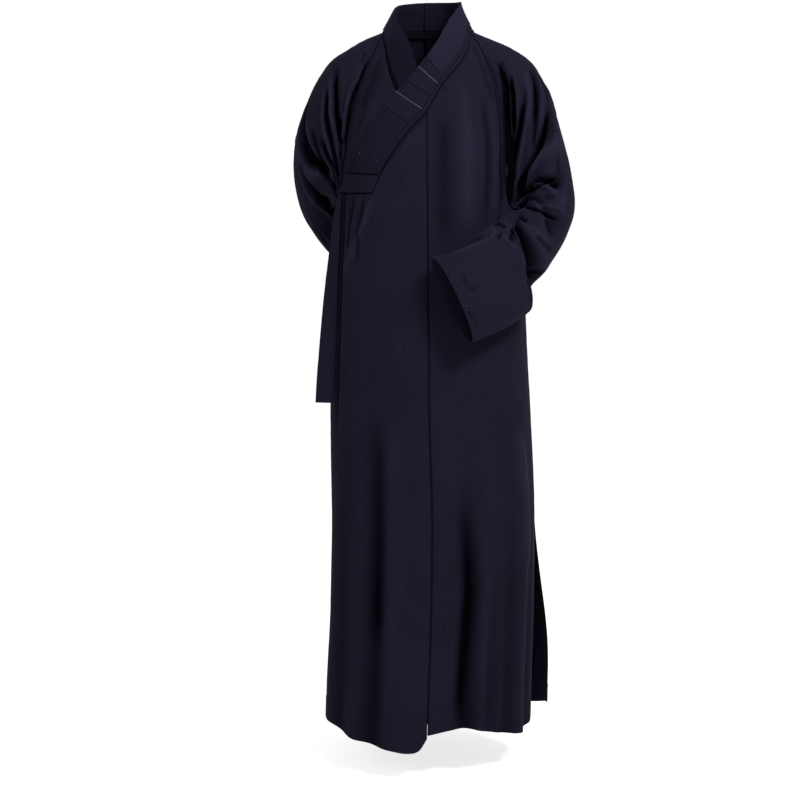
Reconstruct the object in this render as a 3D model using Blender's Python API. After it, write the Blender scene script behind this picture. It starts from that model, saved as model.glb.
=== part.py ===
"""A long cross-collar gown, standing in the form it has when it is worn.

Metres, +Z up. X runs to the wearer's left and the front faces -Y. The origin is in the middle of the
base of the neck. The wearer's left arm is bent across the belly and the right arm is behind the back.
Angles round the body are in degrees from the middle of the front, positive towards the wearer's left.
"""

import math
from collections import namedtuple

import bmesh
import bpy
from mathutils import Vector

# Cloth
WALL = 0.0012                # one layer of cloth
BAND_WALL = 0.0020           # the collar band is sewn from several layers
SEAM = 0.0003                # open space between pieces that are sewn together
LAYER = 0.0045               # from the lower front panel out to the upper one
TUCK = 0.0006                # extra space where a sleeve edge lies over the body
BAND_RISE = 0.0008           # how far the band stands proud of the panel it is sewn to

# Heights
UNDERARM_LEFT = -0.362
UNDERARM_RIGHT = -0.345
NECK_SEAM = -0.0150
OVERLAP_TOP = -0.3235        # level seam below the end of the band
LEVEL_ROWS = -0.370          # below this all body panels share their rows
SLIT_TOP = -0.584
HEM_NEAR = -1.372
HEM_UNDER = -1.346           # the lower front is a little shorter
BACK_FLARE = 0.034           # the corner of the back stands out at the open side
BACK_CORNER = 0.015          # and is this much shorter than the hem beside it

# Angles
CENTRE_FRONT = -1.8
SIDE = 90.0
UNDER_EDGE = 4.0             # free edge of the lower front panel, past the middle
OVERLAP_EDGE = -79.0         # free edge of the upper front panel
OVERLAP_EDGE_TOP = -74.0
NECK_TURN = 150.0            # a sleeve's edge meets the neck here, on its way round from the underarm
TUCK_ANGLE = 3.5             # how far a body panel runs in under a sleeve edge
SLIT_ANGLE = 1.2             # half of the slit

# Tie ribbon
RIBBON_WIDTH = 0.036
RIBBON_DROP = 0.408

# Colour of the cloth in daylight
NAVY = (0.0155, 0.0150, 0.0285, 1.0)

Section = namedtuple("Section", "height half_width front_depth back_depth centre")
BODY = (
    Section(-1.420, 0.207, 0.189, 0.180, 0.002),
    Section(-1.300, 0.206, 0.183, 0.173, 0.005),
    Section(-1.150, 0.204, 0.174, 0.164, 0.010),
    Section(-0.950, 0.202, 0.162, 0.152, 0.012),
    Section(-0.750, 0.198, 0.152, 0.142, 0.006),
    Section(-0.620, 0.1915, 0.148, 0.136, 0.005),
    Section(-0.500, 0.1865, 0.146, 0.132, 0.0035),
    Section(-0.380, 0.180, 0.144, 0.130, 0.002),
    Section(-0.280, 0.175, 0.140, 0.127, 0.001),
    Section(-0.180, 0.160, 0.128, 0.120, 0.000),
    Section(-0.100, 0.136, 0.110, 0.108, 0.000),
    Section(-0.040, 0.107, 0.088, 0.093, 0.000),
    Section(0.000, 0.0825, 0.067, 0.080, -0.001),
    Section(0.020, 0.0715, 0.058, 0.075, -0.001),
    Section(0.042, 0.0620, 0.051, 0.070, 0.000),
    Section(0.060, 0.0600, 0.048, 0.068, 0.000),
)
ROUNDNESS = 2.3              # exponent of the body's sections, 2 is an ellipse

# Edge of the body under each sleeve, from the underarm up to the neck: where it is on its way round the
# sleeve's first ring, and the angles of its front and back edge
Armhole = namedtuple("Armhole", "height turn front back")
ARMHOLE_LEFT = (
    Armhole(-0.362, 0.0, 90.0, 90.0),
    Armhole(-0.358, 12.0, 73.0, 98.0),
    Armhole(-0.350, 24.0, 59.0, 106.0),
    Armhole(-0.334, 37.0, 53.0, 113.0),
    Armhole(-0.270, 62.0, 52.0, 121.0),
    Armhole(-0.180, 90.0, 59.0, 122.0),
    Armhole(-0.100, 116.0, 62.5, 122.0),
    Armhole(-0.050, 136.0, 59.5, 121.0),
    Armhole(-0.0146, 150.0, 57.0, 121.0),
)
ARMHOLE_RIGHT = (
    Armhole(-0.345, 0.0, -90.0, -90.0),
    Armhole(-0.341, 12.0, -83.0, -98.0),
    Armhole(-0.333, 24.0, -77.0, -105.0),
    Armhole(-0.318, 37.0, -72.5, -112.0),
    Armhole(-0.260, 62.0, -68.0, -119.0),
    Armhole(-0.180, 90.0, -67.0, -121.0),
    Armhole(-0.100, 116.0, -65.5, -122.0),
    Armhole(-0.050, 136.0, -65.0, -122.0),
    Armhole(-0.0176, 150.0, -65.0, -121.0),
)

# Collar bands: the seam on the panel and the free edge by the neck, row by row from the nape
Band = namedtuple("Band", "row seam_angle seam_height edge_angle edge_height")
BAND_OUTER = (
    Band(0, 180.0, -0.0100, 180.0, 0.052),
    Band(1, 160.0, -0.0105, 160.0, 0.052),
    Band(2, 140.0, -0.0115, 141.0, 0.051),
    Band(3, 121.0, -0.0130, 124.0, 0.050),
    Band(4, 104.0, -0.0135, 110.0, 0.049),
    Band(5, 88.0, -0.0140, 97.0, 0.048),
    Band(6, 72.0, -0.0140, 80.0, 0.046),
    Band(7, 57.0, -0.0140, 50.0, 0.030),
    Band(8, 40.8, -0.0460, 30.0, 0.010),
    Band(9, 28.0, -0.0740, 16.0, -0.015),
    Band(10, 17.0, -0.0980, 4.0, -0.045),
    Band(11, 13.0, -0.1080, -2.5, -0.063),
    Band(12, 8.8, -0.1200, -9.0, -0.082),
    Band(13, 3.5, -0.1430, -17.5, -0.109),
    Band(14, -1.8, -0.1680, -24.2, -0.130),
    Band(15, -11.5, -0.1960, -30.5, -0.158),
    Band(16, -19.2, -0.2260, -40.0, -0.190),
    Band(17, -25.0, -0.2520, -47.5, -0.219),
    Band(18, -31.3, -0.2880, -57.5, -0.285),
    Band(19, -35.8, -0.3230, -73.0, -0.323),
)
NECK_ROWS = 8                # rows of a band that go round the neck, before it comes down the front
GUARD_END = 11               # rows of BAND_OUTER where pieces on it start and end
PATCH_ROWS = ((12, 13), (14, 15))
BAND_END = 18
BAND_UNDER = (
    Band(0, -180.0, -0.0100, -180.0, 0.052),
    Band(1, -160.0, -0.0105, -160.0, 0.051),
    Band(2, -140.0, -0.0115, -140.0, 0.048),
    Band(3, -121.0, -0.0130, -121.0, 0.044),
    Band(4, -104.0, -0.0135, -104.0, 0.038),
    Band(5, -88.0, -0.0140, -88.0, 0.031),
    Band(6, -74.0, -0.0140, -70.0, 0.024),
    Band(7, -64.0, -0.0170, -50.0, 0.010),
    Band(8, -47.0, -0.0480, -34.5, -0.008),
    Band(9, -36.0, -0.0850, -22.0, -0.032),
    Band(10, -25.8, -0.1260, -13.5, -0.066),
    Band(11, -14.0, -0.1750, -7.0, -0.105),
    Band(12, -4.0, -0.2250, -1.0, -0.145),
    Band(13, 4.0, -0.2750, 4.5, -0.185),
)

# Sleeves: rings that fan out round the bend of the arm. The outer point runs over the shoulder and the
# elbow to the bottom of the cuff, the inner one from the underarm to the top of the cuff.
Ring = namedtuple("Ring", "at outer_x outer_y outer_z inner_x inner_y inner_z front back turn")
SLEEVE_LEFT = (
    Ring(0.00, 0.088, 0.004, -0.014, 0.183, 0.000, -0.362, 0.066, 0.062, 0),
    Ring(0.08, 0.122, 0.002, -0.026, 0.186, -0.002, -0.364, 0.068, 0.062, 0),
    Ring(0.17, 0.161, -0.002, -0.043, 0.190, -0.006, -0.366, 0.070, 0.060, 0),
    Ring(0.26, 0.196, -0.008, -0.066, 0.191, -0.014, -0.366, 0.071, 0.058, 0),
    Ring(0.35, 0.218, -0.012, -0.096, 0.191, -0.024, -0.365, 0.070, 0.056, 0),
    Ring(0.44, 0.241, -0.018, -0.150, 0.189, -0.036, -0.363, 0.068, 0.054, 0),
    Ring(0.52, 0.260, -0.024, -0.218, 0.180, -0.058, -0.360, 0.064, 0.052, 0),
    Ring(0.60, 0.272, -0.030, -0.290, 0.168, -0.077, -0.358, 0.060, 0.050, 4),
    Ring(0.67, 0.276, -0.038, -0.356, 0.157, -0.094, -0.357, 0.056, 0.048, 8),
    Ring(0.73, 0.256, -0.050, -0.415, 0.151, -0.104, -0.360, 0.054, 0.044, 10),
    Ring(0.78, 0.226, -0.064, -0.463, 0.147, -0.114, -0.359, 0.050, 0.042, 12),
    Ring(0.83, 0.195, -0.082, -0.503, 0.141, -0.126, -0.359, 0.046, 0.038, 14),
    Ring(0.86, 0.197, -0.096, -0.542, 0.134, -0.139, -0.370, 0.044, 0.032, 16),
    Ring(0.89, 0.179, -0.120, -0.558, 0.114, -0.152, -0.384, 0.042, 0.028, 18),
    Ring(0.93, 0.145, -0.152, -0.578, 0.078, -0.168, -0.408, 0.040, 0.026, 20),
    Ring(0.97, 0.106, -0.178, -0.592, 0.036, -0.178, -0.430, 0.038, 0.025, 22),
    Ring(1.00, 0.078, -0.194, -0.602, 0.004, -0.184, -0.444, 0.036, 0.024, 24),
)
SLEEVE_RIGHT = (
    Ring(0.00, -0.090, 0.002, -0.014, -0.178, 0.004, -0.345, 0.060, 0.064, 0),
    Ring(0.08, -0.120, 0.004, -0.024, -0.182, 0.008, -0.347, 0.062, 0.064, 0),
    Ring(0.17, -0.154, 0.008, -0.042, -0.187, 0.014, -0.349, 0.062, 0.064, 0),
    Ring(0.26, -0.189, 0.012, -0.064, -0.190, 0.022, -0.351, 0.062, 0.064, 0),
    Ring(0.35, -0.213, 0.016, -0.094, -0.191, 0.032, -0.352, 0.060, 0.064, 0),
    Ring(0.44, -0.240, 0.022, -0.147, -0.191, 0.044, -0.352, 0.058, 0.062, 0),
    Ring(0.52, -0.260, 0.030, -0.202, -0.189, 0.058, -0.350, 0.056, 0.060, 0),
    Ring(0.60, -0.267, 0.042, -0.262, -0.185, 0.074, -0.348, 0.054, 0.056, 0),
    Ring(0.67, -0.262, 0.058, -0.316, -0.180, 0.092, -0.346, 0.050, 0.052, 0),
    Ring(0.73, -0.249, 0.080, -0.364, -0.174, 0.110, -0.344, 0.046, 0.050, 0),
    Ring(0.78, -0.230, 0.106, -0.404, -0.166, 0.126, -0.343, 0.042, 0.048, 0),
    Ring(0.83, -0.203, 0.134, -0.444, -0.154, 0.142, -0.344, 0.036, 0.046, -6),
    Ring(0.86, -0.176, 0.156, -0.470, -0.140, 0.154, -0.346, 0.032, 0.044, -10),
    Ring(0.90, -0.130, 0.182, -0.502, -0.106, 0.172, -0.352, 0.028, 0.042, -14),
    Ring(0.95, -0.075, 0.200, -0.532, -0.058, 0.186, -0.360, 0.026, 0.040, -18),
    Ring(1.00, -0.020, 0.206, -0.554, -0.010, 0.192, -0.368, 0.025, 0.038, -20),
)
SEAM_AT = 0.826              # where the lower sleeve is sewn on, at the bend of the arm
SEAM_LEAN = 0.052            # and how much further along at the elbow
CLEAR = 0.006                # sleeves stay this far off the body
JOIN_END = 0.26              # here a sleeve has left the shape of the armhole

# Folds of the sleeves, as troughs that fan out from the bend: from a low turn to a high one, with a roll
# of cloth beside each, after it along the sleeve, or before it where the roll is negative
SleeveFold = namedtuple("SleeveFold", "low_turn low_at mid_at high_turn high_at width depth roll")
FOLDS_LEFT = (
    SleeveFold(34, 0.010, 0.085, 116, 0.135, 0.022, 0.009, 0.004),
    SleeveFold(50, 0.020, 0.150, 120, 0.220, 0.024, 0.008, 0.004),
    SleeveFold(84, 0.290, 0.320, 138, 0.310, 0.028, 0.008, 0.003),
    SleeveFold(32, 0.030, 0.370, 142, 0.435, 0.034, 0.014, 0.007),
    SleeveFold(30, 0.080, 0.500, 112, 0.585, 0.026, 0.013, 0.008),
    SleeveFold(36, 0.480, 0.672, 112, 0.700, 0.026, 0.012, 0.006),
    SleeveFold(30, 0.805, 0.815, 165, 0.845, 0.022, 0.012, -0.004),
    SleeveFold(225, 0.180, 0.180, 325, 0.060, 0.030, 0.009, 0.004),
    SleeveFold(215, 0.360, 0.340, 322, 0.140, 0.030, 0.012, 0.006),
    SleeveFold(240, 0.520, 0.480, 326, 0.260, 0.028, 0.010, 0.005),
    SleeveFold(222, 0.660, 0.640, 322, 0.480, 0.030, 0.012, 0.006),
)
FOLDS_RIGHT = (
    SleeveFold(52, 0.005, 0.090, 118, 0.030, 0.020, 0.008, 0.003),
    SleeveFold(58, 0.070, 0.215, 146, 0.240, 0.022, 0.010, 0.004),
    SleeveFold(44, 0.050, 0.280, 130, 0.295, 0.024, 0.012, 0.005),
    SleeveFold(48, 0.140, 0.310, 98, 0.385, 0.022, 0.008, 0.003),
    SleeveFold(30, 0.060, 0.495, 160, 0.460, 0.028, 0.014, 0.007),
    SleeveFold(60, 0.690, 0.700, 112, 0.640, 0.040, 0.010, 0.000),
    SleeveFold(78, 0.800, 0.680, 142, 0.590, 0.028, 0.012, 0.006),
    SleeveFold(226, 0.130, 0.140, 322, 0.050, 0.026, 0.008, 0.004),
    SleeveFold(218, 0.430, 0.370, 328, 0.120, 0.034, 0.013, 0.006),
    SleeveFold(246, 0.585, 0.500, 328, 0.240, 0.028, 0.013, 0.007),
    SleeveFold(244, 0.700, 0.672, 324, 0.480, 0.028, 0.012, 0.006),
    SleeveFold(195, 0.845, 0.815, 330, 0.805, 0.022, 0.010, -0.004),
)

# Long upright folds of the skirt: depth at the hem, inwards
SkirtFold = namedtuple("SkirtFold", "angle width start depth")
SKIRT_FOLDS = (
    SkirtFold(-58.0, 16.0, -0.60, 0.010),
    SkirtFold(-34.0, 11.0, -0.66, 0.013),
    SkirtFold(20.0, 10.0, -0.72, 0.016),
    SkirtFold(33.0, 7.0, -0.90, 0.008),
    SkirtFold(46.0, 14.0, -0.55, 0.010),
    SkirtFold(68.0, 9.0, -0.70, 0.010),
    SkirtFold(112.0, 10.0, -0.62, 0.014),
    SkirtFold(138.0, 13.0, -0.50, 0.016),
    SkirtFold(164.0, 9.0, -0.70, 0.012),
    SkirtFold(-166.0, 10.0, -0.60, 0.014),
    SkirtFold(-141.0, 12.0, -0.50, 0.015),
    SkirtFold(-114.0, 11.0, -0.66, 0.012),
)
HEM_OVERLAP = (
    (-80.0, -1.371),
    (-60.0, -1.379),
    (-40.0, -1.390),
    (-20.0, -1.401),
    (-12.0, -1.404),
    (-6.0, -1.398),
    (-1.8, -1.374),
)
HEM_FRONT = (
    (-2.0, -1.368),
    (15.0, -1.357),
    (40.0, -1.374),
    (60.0, -1.388),
    (88.0, -1.374),
)


def curve(rows, column, at):
    """Reads one column of a table smoothly between its rows; the first column is the key."""
    if at <= rows[0][0]:
        return rows[0][column]
    if at >= rows[-1][0]:
        return rows[-1][column]
    low = max(k for k in range(len(rows) - 1) if rows[k][0] <= at)
    before = rows[max(low - 1, 0)]
    start, end = rows[low], rows[low + 1]
    after = rows[min(low + 2, len(rows) - 1)]
    span = end[0] - start[0]
    slope_in = (end[column] - before[column]) / (end[0] - before[0]) * span
    slope_out = (after[column] - start[column]) / (after[0] - start[0]) * span
    t = (at - start[0]) / span
    value = (2 * t**3 - 3 * t**2 + 1) * start[column]
    value += (t**3 - 2 * t**2 + t) * slope_in
    value += (3 * t**2 - 2 * t**3) * end[column]
    return value + (t**3 - t**2) * slope_out


def ease(value, start, end):
    """Goes softly from 0 at start to 1 at end."""
    t = min(1.0, max(0.0, (value - start) / (end - start)))
    return t * t * (3.0 - 2.0 * t)


def spread(start, end, count):
    """Evenly spaced values, both ends included."""
    return [start + (end - start) * k / (count - 1) for k in range(count)]


def body_surface(angle, height):
    """Smooth form of the body of the gown."""
    turn = math.radians(angle)
    side, front = math.sin(turn), math.cos(turn)
    reach = (abs(side)**ROUNDNESS + abs(front)**ROUNDNESS) ** (-1.0 / ROUNDNESS)
    depth = curve(BODY, 2 if front > 0 else 3, height)
    x = curve(BODY, 4, height) + curve(BODY, 1, height) * side * reach
    return Vector((x, -depth * front * reach, height))


def skirt_fold(angle, height):
    """Depth of the long upright folds here."""
    total = 0.0
    for fold in SKIRT_FOLDS:
        away = (angle - fold.angle + 180.0) % 360.0 - 180.0
        if abs(away) < fold.width and height < fold.start:
            shape = math.cos(0.5 * math.pi * away / fold.width) ** 2
            total -= fold.depth * shape * ease(height, fold.start, -1.30)
    return total


def neck_seam(angle):
    """Height of the seam between the collar band and the body, round the neck."""
    bands = BAND_OUTER if angle > 0.0 else BAND_UNDER
    for one, two in zip(bands, bands[1:NECK_ROWS]):
        if abs(one.seam_angle) >= abs(angle) >= abs(two.seam_angle):
            t = (angle - one.seam_angle) / (two.seam_angle - one.seam_angle)
            return one.seam_height + (two.seam_height - one.seam_height) * t
    return bands[NECK_ROWS - 1].seam_height


def body_point(angle, height, out=0.0):
    """A point on the gown's body, moved out from its surface and folded."""
    here = body_surface(angle, height)
    across = body_surface(angle + 0.5, height) - here
    along = body_surface(angle, height + 0.002) - here
    normal = across.cross(along).normalized()
    return here + normal * (out + skirt_fold(angle, height))


def upper_layer(angle):
    """The upper front lies on the lower one, so it moves out towards its free edge."""
    return LAYER * ease(-angle, -10.0, 60.0)


def lower_layer(angle):
    """The lower front lies one layer further in."""
    return upper_layer(angle) - LAYER


def principled(name, colour, roughness=0.85):
    material = bpy.data.materials.new(name)
    material.use_nodes = True
    shader = material.node_tree.nodes["Principled BSDF"]
    shader.inputs["Base Color"].default_value = colour
    shader.inputs["Roughness"].default_value = roughness
    shader.inputs["Metallic"].default_value = 0.0
    return material


def cloth(name, place, columns, rows, colour=NAVY, wall=WALL, ring=False):
    """A closed wall of cloth whose outer face is place(column, row)."""
    mesh_data = bpy.data.meshes.new(name)
    bm = bmesh.new()
    bmesh.ops.create_grid(bm, x_segments=len(columns) - 1, y_segments=len(rows) - 1, size=1.0)
    for vert in bm.verts:
        column = round((vert.co.x + 1.0) / 2.0 * (len(columns) - 1))
        row = round((vert.co.y + 1.0) / 2.0 * (len(rows) - 1))
        vert.co = place(columns[column], rows[row])
    bmesh.ops.remove_doubles(bm, verts=bm.verts[:], dist=1e-5)
    bm.normal_update()
    middle = sum((vert.co for vert in bm.verts), Vector()) / len(bm.verts)
    if not ring:
        middle.x = middle.y = 0.0
    facing = sum(face.normal.dot(face.calc_center_median() - middle) for face in bm.faces)
    inwards = -wall if facing > 0.0 else wall
    shell = bmesh.ops.extrude_face_region(bm, geom=bm.faces[:], use_keep_orig=True)
    for twin in shell["geom"]:
        if isinstance(twin, bmesh.types.BMVert):
            twin.co += twin.normal * inwards
    bmesh.ops.recalc_face_normals(bm, faces=bm.faces[:])
    bm.to_mesh(mesh_data)
    bm.free()
    mesh_data.materials.append(principled(name + "_cloth", colour))
    piece = bpy.data.objects.new(name, mesh_data)
    bpy.context.collection.objects.link(piece)
    return piece


def level_rows(start, end, step):
    """Rows from start down to end, about a step apart."""
    return spread(start, end, max(2, round(abs(start - end) / step) + 1))


def front_left():
    """Upper front, from the seam in its middle to the side."""
    seam_rows = [band.seam_height - 2 * SEAM for band in BAND_OUTER[7:15]]
    rows = seam_rows + level_rows(seam_rows[-1] - 0.02, -0.340, 0.026) + [-0.354, UNDERARM_LEFT - 0.0035]
    rows += level_rows(LEVEL_ROWS - 0.03, SLIT_TOP, 0.036) + level_rows(SLIT_TOP - 0.05, HEM_NEAR, 0.062)

    def place(share, height):
        start = CENTRE_FRONT + 0.08
        for one, two in zip(BAND_OUTER[7:14], BAND_OUTER[8:15]):
            if one.seam_height >= height + 2 * SEAM >= two.seam_height:
                t = (height + 2 * SEAM - one.seam_height) / (two.seam_height - one.seam_height)
                start = one.seam_angle + (two.seam_angle - one.seam_angle) * t
        if height > UNDERARM_LEFT:
            end = curve(ARMHOLE_LEFT, 2, height) + TUCK_ANGLE * ease(height, UNDERARM_LEFT, -0.330)
            end = min(end, SIDE - 0.1)
        else:
            end = SIDE - 0.1
        if height < SLIT_TOP - 0.001:
            end = SIDE - SLIT_ANGLE
        angle = start + (end - start) * share
        low = ease(height, -1.0, HEM_NEAR)
        height += (curve(HEM_FRONT, 1, angle) - HEM_NEAR) * low
        return body_point(angle, height, upper_layer(angle))

    return cloth("front_left", place, spread(0.0, 1.0, 14), rows)


def front_overlap():
    """Upper front, from the seam in its middle to its free edge at the wearer's right."""
    columns = [band.seam_angle for band in BAND_OUTER[14:]]
    columns = columns[:1] + [-6.5] + columns[1:2] + [-15.3] + columns[2:]
    columns += spread(-42.0, OVERLAP_EDGE_TOP, 6)
    columns[0] = CENTRE_FRONT - 0.08
    rows = spread(0.0, 1.0, 6) + level_rows(LEVEL_ROWS - 0.03, HEM_NEAR, 0.05)

    def top(angle):
        for one, two in zip(BAND_OUTER[14:-1], BAND_OUTER[15:]):
            if one.seam_angle >= angle >= two.seam_angle:
                t = (angle - one.seam_angle) / (two.seam_angle - one.seam_angle)
                return one.seam_height + (two.seam_height - one.seam_height) * t - 2 * SEAM
        return BAND_OUTER[14].seam_height - 2 * SEAM if angle > -10.0 else OVERLAP_TOP

    def place(angle, row):
        height = top(angle) + (LEVEL_ROWS - top(angle)) * row if row >= 0.0 else row
        far = ease(angle, -42.0, OVERLAP_EDGE_TOP)
        angle += (OVERLAP_EDGE - OVERLAP_EDGE_TOP) * far * ease(height, OVERLAP_TOP, -0.45)
        low = ease(height, -1.0, HEM_NEAR)
        height += (curve(HEM_OVERLAP, 1, angle) - HEM_NEAR) * low
        return body_point(angle, height, upper_layer(angle))

    return cloth("front_overlap", place, columns, rows)


def front_right():
    """Lower front, under the overlap."""
    seam_rows = [band.seam_height - 2 * SEAM for band in BAND_UNDER[7:]]
    rows = seam_rows[:1] + [-0.034] + seam_rows[1:2] + [-0.066] + seam_rows[2:3] + [-0.105] + seam_rows[3:]
    rows += [-0.30, -0.322, -0.336, UNDERARM_RIGHT - 0.003, LEVEL_ROWS]
    rows += level_rows(LEVEL_ROWS - 0.03, SLIT_TOP, 0.05) + level_rows(SLIT_TOP - 0.05, HEM_UNDER, 0.066)

    def place(share, height):
        end = UNDER_EDGE
        for one, two in zip(BAND_UNDER[7:-1], BAND_UNDER[8:]):
            if one.seam_height >= height + 2 * SEAM >= two.seam_height:
                t = (height + 2 * SEAM - one.seam_height) / (two.seam_height - one.seam_height)
                end = one.seam_angle + (two.seam_angle - one.seam_angle) * t
        if height > UNDERARM_RIGHT:
            tuck = TUCK_ANGLE * ease(height, UNDERARM_RIGHT, -0.315)
            start = max(curve(ARMHOLE_RIGHT, 2, height) - tuck, 0.1 - SIDE)
        else:
            start = 0.1 - SIDE
        if height < SLIT_TOP - 0.001:
            start = SLIT_ANGLE - SIDE
        angle = start + (end - start) * share
        return body_point(angle, height, lower_layer(angle))

    return cloth("front_right", place, spread(0.0, 1.0, 13), rows)


def back_panel(name, armhole, underarm, sign):
    """One half of the back, from the seam in its middle to the side."""
    rows = level_rows(NECK_SEAM, underarm, 0.029)
    rows += level_rows(underarm - 0.03, SLIT_TOP, 0.045) + level_rows(SLIT_TOP - 0.045, HEM_NEAR, 0.066)

    def place(share, height):
        start = 180.0 - 0.12
        if height > underarm:
            tuck = TUCK_ANGLE * ease(height, underarm, underarm + 0.032)
            end = max(abs(curve(armhole, 3, height)) - tuck, SIDE + 0.1)
        else:
            end = SIDE + 0.1
        if height < SLIT_TOP - 0.001:
            end = SIDE + SLIT_ANGLE
        angle = start + (end - start) * share
        rise = (neck_seam(sign * angle) - 2 * SEAM - NECK_SEAM) * ease(height, -0.08, NECK_SEAM)
        flare = 0.0
        if sign > 0:
            flare = BACK_FLARE * ease(angle, 135.0, 95.0) * ease(height, -0.94, -1.30)
            rise += BACK_CORNER * ease(angle, 112.0, 92.0) * ease(height, -1.0, HEM_NEAR)
        return body_point(sign * angle, height + rise, flare)

    return cloth(name, place, spread(0.0, 1.0, 13), rows)


def band_point(bands, layer, row, across, out):
    """A point on a collar band: across is 0 at its seam and 1 at the neck."""
    low = min(int(row), len(bands) - 2)
    one, two = bands[low], bands[low + 1]
    t = row - low
    seam_angle = one.seam_angle + (two.seam_angle - one.seam_angle) * t
    seam_height = one.seam_height + (two.seam_height - one.seam_height) * t
    edge_angle = one.edge_angle + (two.edge_angle - one.edge_angle) * t
    edge_height = one.edge_height + (two.edge_height - one.edge_height) * t
    angle = seam_angle + (edge_angle - seam_angle) * across
    height = seam_height + (edge_height - seam_height) * across
    return body_point(angle, height, layer(angle) + out)


BAND_ACROSS = (0.0, 0.14, 0.28, 0.52, 0.76, 1.0)


def band_piece(name, bands, layer, rows, across, out, colour=NAVY, wall=WALL):
    def place(column, row):
        return band_point(bands, layer, row, column, out)

    return cloth(name, place, list(across), list(rows), colour, wall)


def collar():
    """The band, its neck guard and the two patches below the guard."""
    on_band = BAND_RISE + SEAM + WALL
    outer_rows = [0.012] + [float(k) for k in range(1, BAND_END)] + [BAND_END - 0.012]
    band_piece("band_outer", BAND_OUTER, upper_layer, outer_rows, BAND_ACROSS, BAND_RISE, wall=BAND_WALL)
    end_rows = [BAND_END + 0.012, BAND_END + 0.5, BAND_END + 0.98]
    band_piece("band_end", BAND_OUTER, upper_layer, end_rows, BAND_ACROSS, BAND_RISE, wall=BAND_WALL)
    under_rows = [0.012] + [float(k) for k in range(1, len(BAND_UNDER))]
    band_piece("band_under", BAND_UNDER, lower_layer, under_rows, BAND_ACROSS, BAND_RISE, wall=BAND_WALL)
    guard_rows = [0.012] + [float(k) for k in range(1, GUARD_END + 1)]
    band_piece("guard_outer", BAND_OUTER, upper_layer, guard_rows, BAND_ACROSS[2:], on_band)
    guard_rows = [0.012] + [float(k) for k in range(1, 12)]
    band_piece("guard_under", BAND_UNDER, lower_layer, guard_rows, BAND_ACROSS[1:], on_band)
    for count, (start, end) in enumerate(PATCH_ROWS):
        name = ("patch_upper", "patch_lower")[count]
        band_piece(name, BAND_OUTER, upper_layer, (start, end), BAND_ACROSS[1:], on_band)


def armhole_point(armhole, turn, out):
    """The edge of a sleeve at the body: turn is 0 at the underarm and 180 at the neck."""
    share = min(turn, 360.0 - turn)
    climb = [(row.turn, row.height) for row in armhole]
    height = curve(climb, 1, share)
    angle = curve(armhole, 2 if turn <= 180.0 else 3, height)
    out += TUCK * ease(share, 50.0, 20.0)
    if share > NECK_TURN:
        side = math.copysign(SIDE, angle)
        angle += (side - angle) * (share - NECK_TURN) / (180.0 - NECK_TURN)
        height = neck_seam(angle) - 2 * SEAM
        out *= ease(share, 178.0, 158.0)
    return body_point(angle, height, out)


def off_body(point, clear):
    """Moves a point out until it is clear of the gown's body."""
    if point.z < -1.4 or point.z > 0.03:
        return point
    depth = curve(BODY, 2 if point.y < 0 else 3, point.z) + clear
    side = (point.x - curve(BODY, 4, point.z)) / (curve(BODY, 1, point.z) + clear)
    front = -point.y / depth
    reach = (abs(side)**ROUNDNESS + abs(front)**ROUNDNESS) ** (1.0 / ROUNDNESS)
    if reach >= 1.0:
        return point
    centre = curve(BODY, 4, point.z)
    return Vector((centre + (point.x - centre) / reach, point.y / reach, point.z))


def ring_point(rings, turn, at):
    """A point on a sleeve's plain rings."""
    values = [curve(rings, column, at) for column in range(1, 10)]
    outer, inner = Vector(values[0:3]), Vector(values[3:6])
    half = (outer - inner) / 2.0
    axis = half.normalized()
    facing = math.radians(values[8])
    towards = Vector((math.sin(facing), -math.cos(facing), 0.0))
    towards = (towards - axis * towards.dot(axis)).normalized()
    bulge = values[6] if turn <= 180.0 else values[7]
    side, along = math.sin(math.radians(turn)), -math.cos(math.radians(turn))
    reach = (abs(side)**ROUNDNESS + abs(along)**ROUNDNESS) ** (-1.0 / ROUNDNESS)
    return (outer + inner) / 2.0 + half * along * reach + towards * bulge * side * reach


def sleeve_surface(rings, armhole, turn, at):
    """Smooth form of a sleeve: turn is 0 on its inner line and 180 on its outer line."""
    point = ring_point(rings, turn, at)
    if at < JOIN_END:
        pull = armhole_point(armhole, turn, WALL + SEAM + TUCK) - ring_point(rings, turn, 0.0)
        point += pull * (1.0 - at / JOIN_END) ** 2
    if at <= 0.0:
        return point
    return off_body(point, WALL + SEAM + TUCK + (CLEAR - WALL - SEAM - TUCK) * ease(at, 0.0, 0.10))


def sleeve_fold(folds, turn, at):
    """Depth of a sleeve's folds here, inwards."""
    total = 0.0
    for fold in folds:
        share = (turn - fold.low_turn) / (fold.high_turn - fold.low_turn)
        if -0.2 < share < 1.2:
            straight = fold.low_at + (fold.high_at - fold.low_at) * share
            bow = fold.mid_at - (fold.low_at + fold.high_at) / 2.0
            away = (at - straight - 4.0 * bow * share * (1.0 - share)) / fold.width
            strength = ease(share, -0.15, 0.2) * ease(share, 1.15, 0.75)
            beside = away - math.copysign(1.6, fold.roll)
            total -= fold.depth * strength * math.exp(-away * away)
            total += abs(fold.roll) * strength * math.exp(-beside * beside)
    return total * ease(at, 0.0, 0.05)


def sleeve_point(rings, armhole, folds, turn, at):
    """A point on a folded sleeve."""
    here = sleeve_surface(rings, armhole, turn, at)
    fold = sleeve_fold(folds, turn % 360.0, at)
    if abs(fold) < 1e-6:
        return here
    across = sleeve_surface(rings, armhole, turn + 1.0, at) - here
    along = sleeve_surface(rings, armhole, turn, at + 0.004) - here
    normal = across.cross(along).normalized()
    if rings is SLEEVE_LEFT:
        normal = -normal
    return off_body(here - normal * fold, CLEAR * ease(at, 0.0, 0.10))


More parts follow.
